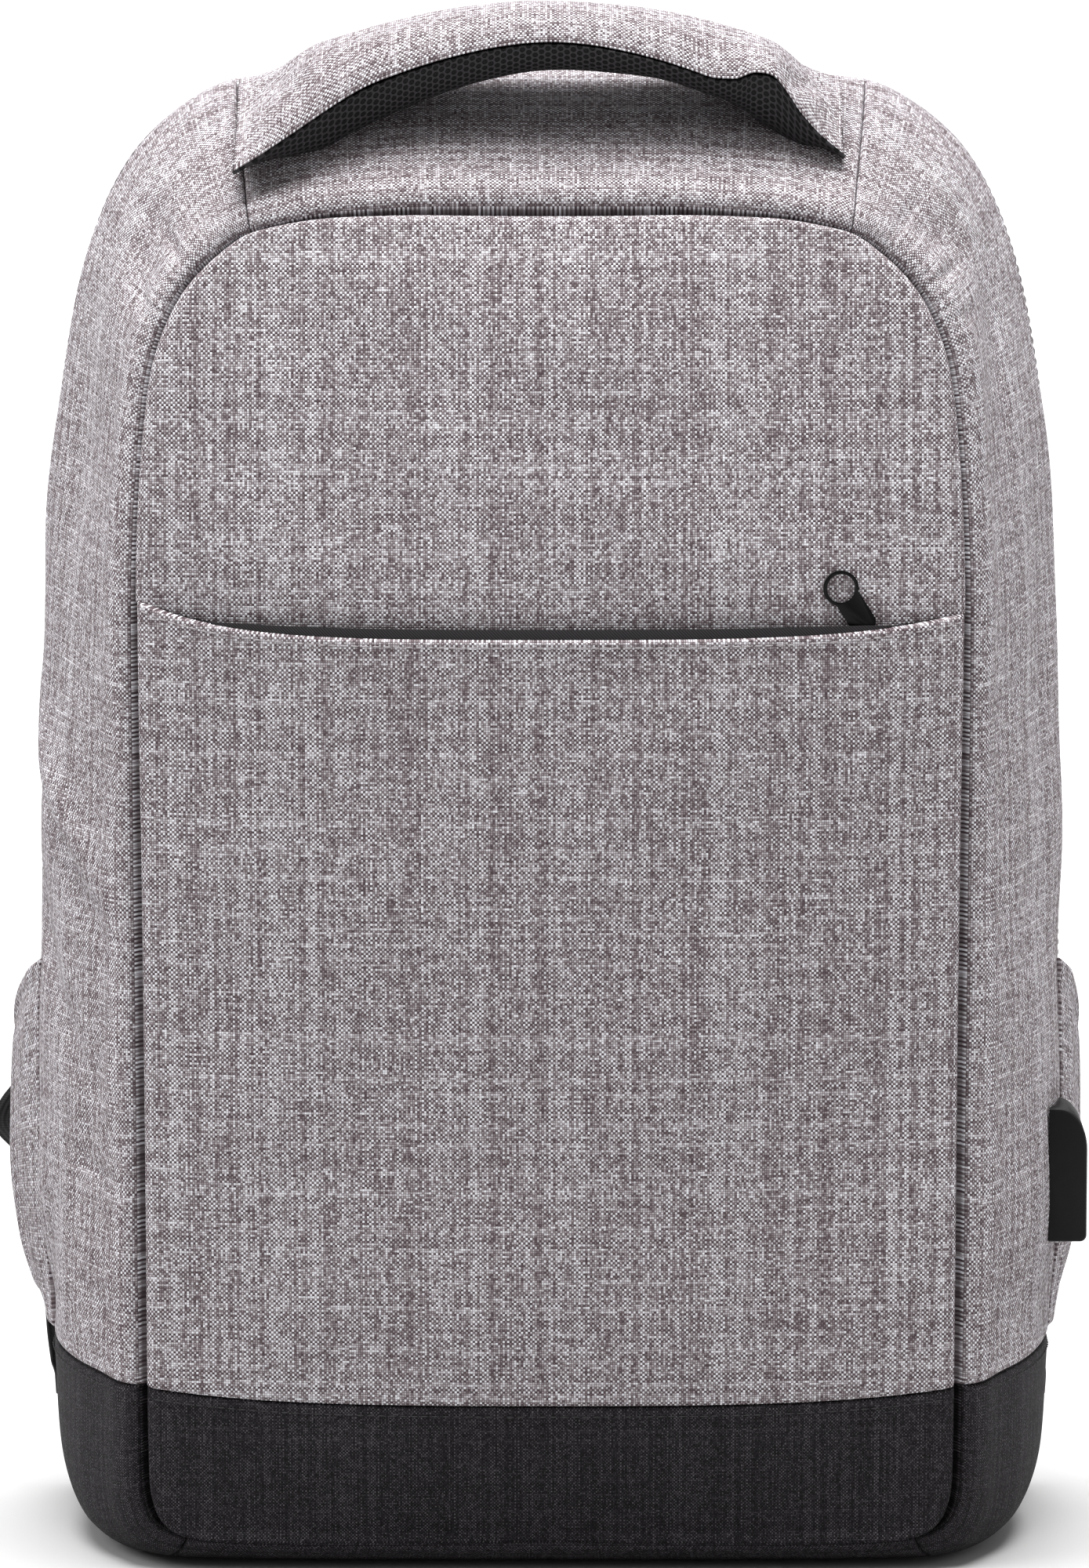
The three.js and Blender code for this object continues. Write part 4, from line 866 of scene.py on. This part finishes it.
def side_pocket(name, side):
    """Height and share across give the place on the gusset. The swell is a power of a sine across, and a
    curve through a few rows upwards."""
    up, share = spaced(0, 1, 90, 0.5)[:, None], spaced(0, 1, 70, 0.6)[None, :]
    bottom = smooth(STATIONS[:, 4], float(BAND_TOP)) * body_height + SEAM
    height = bottom + up * POCKET_HIGH * (1 - POCKET_SLANT * share)
    stations = np.linspace(BAND_TOP, SLIT, 400)
    place = np.interp(height, smooth(STATIONS[:, 4], stations) * body_height, stations)
    across = np.broadcast_to(mix(POCKET_FRONT, POCKET_BACK, share), place.shape)
    swell = POCKET_SWELL[name] * row_curve(POCKET_ROWS, up) * np.sin(np.pi * share) ** 1.2
    sewn = np.clip(np.sin(np.pi * share) / POCKET_SEWN, 0, 1)
    points, _ = gusset_out(side * place, across, SEAM + (2 * SEAM + POCKET_WALL) * sewn + swell)
    lift = -PLEAT * np.exp(-(((up - PLEAT_AT) / PLEAT_WIDE) ** 2)) * np.ones(share.shape)
    cloth("pocket_" + name, ["side_pocket_" + name], points, heather, {"R": HEM, "r": NARROW}, lift=lift,
          seed=50 + side, turn_in=1.4)


for name, side in (("left", -1), ("right", 1)):
    side_pocket(name, side)
hard("socket_housing", "usb_housing", black_plastic, 0.5)
hard("socket_shell", "usb_shell", socket_metal, 0.05)
hard("socket_tongue", "usb_tongue", black_plastic, 0.15)

# %% [markdown]
# ## Seam binding, dark as the groove's painted shade
# Inside the bag a black tape binds the raw edges of the front seam. Here it also stands in for shade: it lies
# behind the groove and keeps it dark as painted shade, where the groove's own shade is too weak. A tube along
# the seam is enough, because only a hair of it can be seen.

# %% Seam binding, dark as the groove's painted shade
# painted shade: a black tube behind the front seam's groove keeps the groove dark
SHADE_BINDING_DEEP, SHADE_BINDING_RADIUS = 8.5 * MM, 2.2 * MM
shade_binding_line = seam_front(np.abs(loop))
shade_binding_line[:, 0] *= np.where(loop < 0, -1, 1)
shade_binding_line[:, 1] += SHADE_BINDING_DEEP
tube("groove_shade_binding", [shade_binding_line], SHADE_BINDING_RADIUS, black_cloth)

# %% [markdown]
# ## The back
# The back panel is a foam pad under air mesh, with channels for the air. The main zip runs round it, and the
# straps hang from a patch at its top. This side is hidden in the photograph, so it has the usual form.

# %% Back panel and main zip
PANEL_IN = REAR_ROUND + ZIP_TAPE + SEAM
PAD_THICK, PAD_ROUND = 5 * MM, 9 * MM
CHANNEL_DEEP, CHANNEL_HALF, CHANNEL_END = 2.8 * MM, 8 * MM, 12 * MM
CHANNEL_LEVELS = [(5.78, 0.16), (8.62, 0.09)]  # the channels across: station, half width in stations
COIL_RADIUS, COIL_SQUASH = 1.5 * MM, 0.7


def back_rail(inward, depth):
    """The rear seam moved inwards, at one depth."""

    def rail(s):
        """The line's place at station s."""
        point = seam_rear(s, inward)
        point[..., 1] = depth
        return point

    return rail


a, s = spaced(-1, 1, 150)[None, :], spaced(BASE_END, CROSS_SEAM, 190, 0.5)[:, None]
points = panel(back_rail(PANEL_IN, back_edge), a, s, 0, 0)
up, over = walked(points, 0), walked(points, 1)
edge = np.minimum.reduce([up, up[-1:] - up, over, over[:, -1:] - over])
pad = CLOTH + PAD_THICK * (1 - np.exp(-((edge / PAD_ROUND) ** 2)))
upright = np.exp(-((points[..., 0] / CHANNEL_HALF) ** 4))
levels = sum(np.exp(-(((s - at) / width) ** 4)) for at, width in CHANNEL_LEVELS)
channel = np.maximum(upright, levels * (1 - a**8)) * (1 - np.exp(-((edge / CHANNEL_END) ** 2)))
back = cloth("back_pad", ["back_panel"], points, air_mesh, lift=pad - CHANNEL_DEEP * channel, uneven=0.3,
             seed=61, turn_in=2.0, uv=flat_uv(points), slot="air_mesh")


def loop_points(inward, depth):
    """The whole line round the back at one distance in from the rear seam."""
    point = seam_rear(np.abs(loop), inward)
    point[:, 0] *= np.where(loop < 0, -1, 1)
    point[:, 1] = depth
    return point


tape = np.stack([loop_points(REAR_ROUND + SEAM + share * (ZIP_TAPE - SEAM), back_edge - SEAM)
                 for share in np.linspace(0, 1, 5)], 1)
cloth("main_tape", ["main_zip_tape"], tape, tape_cloth, uneven=0, turn_in=0.7, slot="zip_tape")
coil_line = loop_points(REAR_ROUND + ZIP_TAPE / 2, back_edge)
tube("main_coil", [coil_line], COIL_RADIUS, coil_plastic, squash=COIL_SQUASH)
for name in ("left", "right"):
    hard("main_slider_" + name, "main_zip_slider_" + name, zip_metal, 0.5)
low, high = [np.array(corner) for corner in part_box("strap_yoke")]
x, z = np.linspace(low[0], high[0], 60)[None, :], np.linspace(low[2], high[2], 20)[:, None]
yoke = np.stack(np.broadcast_arrays(x, high[1], z), -1)
cloth("yoke", ["strap_yoke"], yoke, black_cloth, {"r": HEM, "R": HEM, "c": HEM, "C": HEM}, uneven=0.1,
      turn_in=1.6, slot="black_cloth")

# %% [markdown]
# ## Shoulder straps
# A strap is a padded band, grey outside and air mesh on the side that lies on the shoulder, with piping along
# both edges. It is one closed skin round a line through chosen rows, because the line sets its length and its
# hang by itself.

# %% Straps
STRAP_ROWS = np.array(
    [
        # across, up, back in mm, width
        (0.27, 0.895, 2.7, 0.9),
        (0.272, 0.905, 13, 0.92),
        (0.285, 0.905, 24, 0.96),
        (0.305, 0.888, 33, 1),
        (0.34, 0.855, 38, 1),
        (0.41, 0.79, 40, 1),
        (0.51, 0.69, 39, 1),
        (0.61, 0.59, 36, 1),
        (0.71, 0.5, 32, 0.93),
        (0.79, 0.43, 28, 0.78),
        (0.835, 0.385, 25, 0.58),
    ]
)
STRAP_WIDE, STRAP_PAD, STRAP_TILT = 60 * MM, 10 * MM, 0.12
STRAP_POINTS, STRAP_RING = 150, 48
PIPING_RADIUS, PIPING_IN = 1.7 * MM, 0.9 * MM
END_LEAST, END_NARROW = 0.0004, 0.15  # a band's end closes to a hair, and narrows by this share
BACK_FACE = back_edge + CLOTH + PAD_THICK


def strap_at(rows, side):
    """Rows of shares as points behind the back panel."""
    x, z = side * rows[:, 0] * half_width, rows[:, 1] * body_height
    return np.stack([x, BACK_FACE + rows[:, 2] * MM, z], -1)


def spline(rows, count):
    """A smooth line of count points through rows of numbers."""
    places = np.linspace(0, len(rows) - 1, count)
    return np.stack([smooth(column, places, True) for column in np.asarray(rows).T], -1)


def band_rings(centre, wide, width, thickness, power, first=None, count=40):
    """Rings round a line: a superellipse of a width and a thickness, one power across and 2.2 through. Its
    ends are drawn in as a quarter circle to close them."""
    run = np.gradient(centre, axis=0)
    if first is not None:
        run[0] = first
    run /= np.linalg.norm(run, axis=1, keepdims=True)
    wide = wide - run * np.sum(wide * run, 1, keepdims=True)
    wide /= np.linalg.norm(wide, axis=1, keepdims=True)
    thick = np.cross(wide, run)
    angle = np.linspace(0, 2 * np.pi, count + 1)
    w = np.sign(np.cos(angle)) * np.abs(np.cos(angle)) ** (2 / power)
    t = np.sign(np.sin(angle)) * np.abs(np.sin(angle)) ** (2 / 2.2)
    way = walked(centre[:, None], 0)[:, 0]
    end = np.clip(np.minimum(way, way[-1] - way) / (thickness / 2), 0, 1)
    close = np.sqrt(np.clip(1 - (1 - end) ** 2, END_LEAST, 1))[:, None, None]
    ring = wide[:, None] * (w[None, :, None] * width[:, None, None] / 2) * mix(1, close, END_NARROW)
    return centre[:, None] + ring + thick[:, None] * (t[None, :, None] * thickness / 2) * close, wide, thick


for name, side in (("left", -1), ("right", 1)):
    centre = spline(strap_at(STRAP_ROWS, side), STRAP_POINTS)
    width = spline(STRAP_ROWS[:, 3:] * STRAP_WIDE, STRAP_POINTS)[:, 0]
    rings, wide, thick = band_rings(centre, np.array([1.0, 0.0, -side * STRAP_TILT]), width, STRAP_PAD, 5.0,
                                    first=(0.0, 1.0, 0.0), count=STRAP_RING)
    strap = cloth("strap_" + name, ["shoulder_strap_" + name], rings, heather, uneven=0.25, seed=70 + side,
                  turn_in=0, middle=centre[:, None])
    strap.data.materials.append(air_mesh)
    column = np.arange(len(strap.data.polygons)) % STRAP_RING
    outer = thick[:, 1].mean() > 0
    inner_side = (column >= STRAP_RING // 2) == outer
    strap.data.polygons.foreach_set("material_index", inner_side.astype(np.int32))
    edges = [centre + wide * (sign * (width / 2 - PIPING_IN))[:, None] for sign in (-1, 1)]
    tube("binding_" + name, [edge[3:-3] for edge in edges], PIPING_RADIUS, tape_cloth)

# %% [markdown]
# ## Webbing, buckles and anchors
# Each strap ends in woven webbing that runs through a ladder buckle to a patch on the lower corner. The
# webbing is a thin band through a few chosen rows, and turns to lie flat on its patch. The left one bends
# out once beside the side pocket, where the photograph shows its edge.

# %% Webbing and what holds it
WEBBING_ROWS = np.array(
    [
        # across, up, back in mm
        (0.86, 0.348, 23),
        (0.935, 0.285, 20),
        (0.985, 0.25, 17),
        (0.985, 0.2, 12),
        (0.98, 0.16, 6),
    ]
)
WEBBING_WIDE, WEBBING_WALL, WEBBING_POINTS = 25 * MM, 1.6 * MM, 120
ANCHOR = {"low": 3.9, "high": 4.55, "front": 1.25, "back": 1.95}  # the patch, in stations and shares across
PATCH_LIFT = 1.3 * MM
RIM_LONG = 32 * MM  # from one side of the rim to the other, round its turn
RIM_SHARES = (1.02, 2)  # the webbing lies on the rim between these shares across
SLACK = 2 * MM
OUT_OF_STRAP = 8 * MM
SETTLE_FROM, SETTLE_LONG = 6.2, 1.2  # along the webbing's nine places it settles onto the rim here
KINK, KINK_AT, KINK_LONG = 10.5 * MM, 106 * MM, 9 * MM  # the left webbing bends out once


def webbing_rings(side):
    """Rings and middle line of one side's webbing: a band from the strap's end through the chosen rows to two
    seats over the patch. Its last part is laid on the rim. The left one's bend is a bell of its height."""
    place = side * mix(ANCHOR["low"], ANCHOR["high"], 0.5)
    across = mix(ANCHOR["front"], ANCHOR["back"], 0.5)
    lift = 4 * SEAM + CLOTH + WEBBING_WALL / 2
    seat_places = np.array([side * ANCHOR["high"], place])
    seats, outs = gusset_out(seat_places, np.array([across, across]), [lift, lift])
    seat_wide = np.cross(outs[1], [0.0, 0.0, 1.0])
    seat_wide *= np.sign(seat_wide[0])
    ends = strap_at(STRAP_ROWS[-2:], side)
    run = (ends[1] - ends[0]) / np.linalg.norm(ends[1] - ends[0])
    rows = strap_at(WEBBING_ROWS, side)
    turned = np.maximum(np.arange(5) - 1, 0) / 4
    rows[:, 0] -= side * SLACK * np.sin(np.pi * turned)
    line = np.concatenate([[ends[1] + run * SEAM, ends[1] + run * OUT_OF_STRAP], rows, seats])
    strap_wide = np.array([1.0, 0.0, -side * STRAP_TILT])
    wides = mix(np.array([1.0, 0, 0]), seat_wide, turned[:, None])
    wides = np.concatenate([[strap_wide, strap_wide], wides, [seat_wide, seat_wide]])
    middle_line, wide_line = spline(line, WEBBING_POINTS), spline(wides, WEBBING_POINTS)
    band_width = np.full(WEBBING_POINTS, WEBBING_WIDE)
    rings, _, _ = band_rings(middle_line, wide_line, band_width, WEBBING_WALL, 12.0, first=run)
    if side < 0:
        kink = np.exp(-(((middle_line[:, 2] - KINK_AT) / KINK_LONG) ** 2))
        rings[..., 0] -= (KINK * kink)[:, None]
        middle_line[:, 0] -= KINK * kink
    offset = np.sum((rings - middle_line[:, None]) * wide_line[:, None], -1)
    along = np.linspace(0, 8, WEBBING_POINTS)
    settled = np.clip((along - SETTLE_FROM) / SETTLE_LONG, 0, 1)[:, None, None]
    stations = np.interp(along, [6, 7, 8], [ANCHOR["high"] + 0.25, ANCHOR["high"], abs(place)])
    shares = np.clip(across + offset / RIM_LONG, *RIM_SHARES)
    raised = PATCH_LIFT + WEBBING_WALL / 2 + np.sum((rings - middle_line[:, None]) * outs[1], -1)
    laid, _ = gusset_out(np.broadcast_to(side * stations[:, None], shares.shape), shares, raised)
    rings = mix(rings, laid, gentle(settled))
    return rings, mix(middle_line, laid.mean(1), settled[:, 0])


for name, side in (("left", -1), ("right", 1)):
    rings, middle_line = webbing_rings(side)
    cloth("webbing_" + name, ["strap_webbing_" + name], rings, webbing, uneven=0, turn_in=0,
          middle=middle_line[:, None], slot="webbing")
    places = side * np.linspace(ANCHOR["low"], ANCHOR["high"], 30)[:, None]
    steps = np.linspace(ANCHOR["front"], ANCHOR["back"], 40)[None, :]
    points, _ = gusset_out(*np.broadcast_arrays(places, steps), np.full((30, 40), PATCH_LIFT))
    cloth("anchor_" + name, ["anchor_patch_" + name], points, black_cloth,
          {"r": HEM, "R": HEM, "c": HEM, "C": HEM}, uneven=0, turn_in=1.6, slot="black_cloth")
    hard("buckle_" + name, "ladder_buckle_" + name, black_plastic, 0.8)

# %% [markdown]
# ## The handle
# A padded grey half lies over a belly of air mesh, and both are sewn together along the front and back
# edge. Its left end is spread forward and at its right end the grey edge is tucked up, as the photograph
# shows.

# %% Handle
HANDLE_HALF, HANDLE_WIDE, HANDLE_MIDDLE = 90.6 * MM, 43 * MM, 0.5 * MM
HANDLE_RISE = handle_top - body_height
HANDLE_SPAN = 90 * MM  # its rise falls off over this length from the middle
EDGE_MIDDLE, EDGE_FRONT, EDGE_BACK = 9.4, 20, 6  # the sewn edge lies this far below the crown, in mm
CROWN_SLIM, SLIM_FROM = 0.62, 0.74  # the padding grows this much thinner towards the ends
BELLY_ROWS = [
    # place along, from the left end at -1 to the right end at 1, and how deep the belly hangs in mm
    (-1, 2.5),
    (-0.92, 5),
    (-0.82, 10),
    (-0.7, 13.4),
    (-0.55, 12.6),
    (-0.38, 11),
    (-0.2, 9.6),
    (-0.06, 8.6),
    (0.16, 7.6),
    (0.4, 5.8),
    (0.54, 6.2),
    (0.62, 8.3),
    (0.68, 12),
    (0.75, 13.5),
    (0.83, 10.5),
    (0.92, 5),
    (1, 2.5),
]
HANDLE_FLARE = 13 * MM  # the left end reaches this much further forward
FLARE_FROM, FLARE_LONG = 0.55, 0.4
RIGHT_PULL = 0.07  # the right end is drawn in by this share
FLARE_DROP = 0.3  # and is drawn down by this share of it
TUCK_ROWS = [
    # place along, and how far the right front edge is tucked up in mm
    (0, 0),
    (0.5, 0),
    (0.6, 2.5),
    (0.68, 7.5),
    (0.74, 9),
    (0.79, 6.5),
    (0.84, 3),
    (0.92, 0.5),
    (1, 0),
]
HANDLE_FOLDS = [
    # x, c, lean, length in c, width, depth, all lengths in mm
    (70, -0.75, 10, 0.5, 2.6, 1.6),
    (79, -0.3, 8, 0.5, 3.5, -1.2),
    (-74, -0.6, -8, 0.5, 3.5, 1.2),
    (-60, -0.8, 6, 0.4, 3.0, 0.8),
    (46, -0.7, 4, 0.5, 5.0, 0.6),
    (-25, -0.5, 6, 0.8, 8.0, 0.5),
]


def top_height(x, y):
    """The height of the bag's top at a place, found by halving the stations."""
    low, high = np.full(x.shape, float(SLIT)), np.full(x.shape, float(TOP_MIDDLE))
    for _ in range(26):
        half = (low + high) / 2
        depth = smooth(STATIONS[:, 2], half) * front_depth
        point = gusset(half, np.clip((y + depth) / (rear_seam + depth), 0, 1))
        wide = point[..., 0] > np.abs(x)
        low, high = np.where(wide, half, low), np.where(wide, high, half)
    return point[..., 2]


def handle_grids(count=190, across=61):
    """The crown and the belly, at places x and shares c across. Along, the rise is a parabola and the drop to
    the sewn edge a hyperbola. Across, the crown is a superellipse and the belly a sixth power."""
    x = np.linspace(-HANDLE_HALF, HANDLE_HALF, count)[:, None]
    c = -np.cos(np.linspace(0, np.pi, across))[None, :]
    x, c = np.broadcast_arrays(x, c)
    along, share = np.abs(x) / HANDLE_SPAN, (c + 1) / 2
    x = np.where(x > 0, x * (1 - RIGHT_PULL * along**2), x)
    flare = HANDLE_FLARE * gentle(np.clip((along - FLARE_FROM) / FLARE_LONG, 0, 1))
    flare = flare * (1 - share) ** 2 * (x < 0)
    y = HANDLE_MIDDLE + c * HANDLE_WIDE / 2 - flare
    top = body_height + HANDLE_RISE - (HANDLE_RISE + CLOTH) * along**2
    soft = np.sqrt(along**2 + 0.03) - 0.12
    drop_front = mix(EDGE_MIDDLE, EDGE_FRONT, soft) * MM + FLARE_DROP * flare
    drop_back = mix(EDGE_MIDDLE, EDGE_BACK, soft) * MM
    rest = top_height(x, y) + 2 * SEAM
    tuck = row_curve(TUCK_ROWS, along) * MM * (1 - share) ** 2 * (x > 0)
    edge = np.maximum(top - mix(drop_front, drop_back, share) + tuck, rest + 2 * MM)
    ends = np.clip((along - SLIM_FROM) / (1 - SLIM_FROM), 0, 1)
    height = (mix(drop_front, drop_back, 0.5) - tuck * 0.6) * (1 - CROWN_SLIM * gentle(ends))
    crown = edge + height * (1 - np.abs(c) ** 2.6) ** 0.62
    belly = np.maximum(edge - MM - row_curve(BELLY_ROWS, np.sign(x) * along) * MM * (1 - c**6), rest)
    return x, y, c, crown, np.minimum(belly, edge - MM)


x, y, c, crown, belly = handle_grids()
folds = sum(
    depth * MM * np.exp(-(((x / MM - at - lean * (c - share)) / width) ** 2) - ((c - share) / length) ** 2)
    for at, share, lean, length, width, depth in HANDLE_FOLDS
)
handle_middle = np.array([0.0, 0.0, body_height - 50 * MM])
pad = cloth("handle_top", ["handle_pad"], np.stack([x, y, crown], -1), heather, lift=-folds * (1 - c**8),
            uneven=0.4, turn_in=1.2, seed=81, middle=handle_middle)
under = cloth("handle_under", ["handle_mesh"], np.stack([x, y, belly], -1), air_mesh, uneven=0.2, turn_in=1.0,
              seed=83, middle=np.array([0.0, 0.0, 1.0]), slot="air_mesh")

# %% [markdown]
# ## Stitches
# Topstitching holds the hems down and runs along the seams. Each stitch is a small bead of thread, because
# a painted line would look flat from the side.

# %% Stitch lines
OUT = np.array([0.0, -1.0, 0.0])
FRONT_PROUD, SIDE_SUNK, BAND_PROUD = 0.06 * MM, 0.2 * MM, 0.12 * MM  # the threads' place off the panels
HEM_WIDE = 1.9 * MM
SEAM_SHARE = 0.94  # the lines along the rear seam, across the gusset
BESIDE_SEAM = 0.05  # stations left free at a cross seam
band_station = BAND_TOP - 0.08
hem_station = SLIT - HEM_WIDE / STATION_RISE


def front_line(s, span, stand=0.0):
    """A line across the front at one station."""
    path = front(np.linspace(-span, span, 300), np.full(300, s), stand)
    path[:, 1] -= FRONT_PROUD
    return path, np.broadcast_to(OUT, path.shape)


def gusset_line(first, last):
    """A line along the gusset beside its rear seam."""
    places = np.linspace(first, last, 400)
    return gusset_out(places, np.full(400, SEAM_SHARE), np.full(400, -SIDE_SUNK))


grey_lines = [front_line(hem_station, 0.97, pocket_stand(hem_station))]
for side in (-1, 1):
    grey_lines.append(gusset_line(side * (BAND_TOP + 2 * BESIDE_SEAM), side * (CROSS_SEAM - BESIDE_SEAM)))
    grey_lines.append(gusset_line(side * (CROSS_SEAM + BESIDE_SEAM), side * (TOP_MIDDLE - 0.01)))
stitches("grey_stitches", grey_lines, grey_thread)
black_lines = [front_line(band_station, 0.965)]
for side in (-1, 1):
    across = np.linspace(1 - SEAM_SHARE, SEAM_SHARE, 200)
    black_lines.append(gusset_out(np.full(200, side * band_station), across, np.full(200, BAND_PROUD)))
stitches("black_stitches", black_lines, black_thread)

# %% [markdown]
# ## Floor, light and camera
# The floor is plain and pale. Four soft suns and an even sky give the photograph's studio light. The
# strongest shines from above, one from the left, a weak one from the right and one from behind. Lamps of a
# real size could do it too, but they leave the floor far behind the bag grey.

# %% Stage
FLOOR_GREY, SKY = 0.43, 0.32
floor_material = moulded("floor", (FLOOR_GREY,) * 3, 0.7, 0.0, 40, 0.01 * MM)
bpy.ops.mesh.primitive_plane_add(size=40)
floor = bpy.context.object
floor.name = "floor"
floor.data.materials.append(floor_material)
world = bpy.data.worlds.new("studio")
world.use_nodes = True
sky = world.node_tree.nodes["Background"]
sky.inputs["Color"].default_value = (1, 1, 1, 1)
sky.inputs["Strength"].default_value = SKY
bpy.context.scene.world = world


def sun(name, toward, angle, strength):
    """A soft sun: its light comes from one direction, spread over an angle in degrees."""
    data = bpy.data.lights.new(name, "SUN")
    data.energy, data.angle = strength, math.radians(angle)
    light = bpy.data.objects.new(name, data)
    light.location = toward
    yaw = math.atan2(toward[0], -toward[1])
    pitch = math.atan2(math.hypot(toward[0], toward[1]), toward[2])
    light.rotation_euler = (pitch, 0, yaw)
    bpy.context.scene.collection.objects.link(light)


sun("key", (-2.3, -0.45, 1.9), 40, 1.6)
sun("fill", (2.3, -0.3, 1.2), 50, 0.5)
sun("top", (0.0, 0.2, 2.6), 50, 7.8)
sun("behind", (0.6, 3.4, 3.2), 50, 0.8)

CAMERA_UP = math.radians(8.5)
CAMERA_AWAY = 2.5
CAMERA_LENS = 196.1
CAMERA_TARGET = np.array([-1.8 * MM, 0.0, 222.8 * MM])
camera_data = bpy.data.cameras.new("camera")
camera_data.lens = CAMERA_LENS
camera_data.sensor_width = 36
camera_data.clip_end = 100
camera = bpy.data.objects.new("camera", camera_data)
camera.location = CAMERA_TARGET + CAMERA_AWAY * np.array([0, -math.cos(CAMERA_UP), math.sin(CAMERA_UP)])
camera.rotation_euler = (math.pi / 2 - CAMERA_UP, 0, 0)
bpy.context.scene.collection.objects.link(camera)
bpy.context.scene.camera = camera
bpy.context.scene.view_settings.view_transform = "Standard"
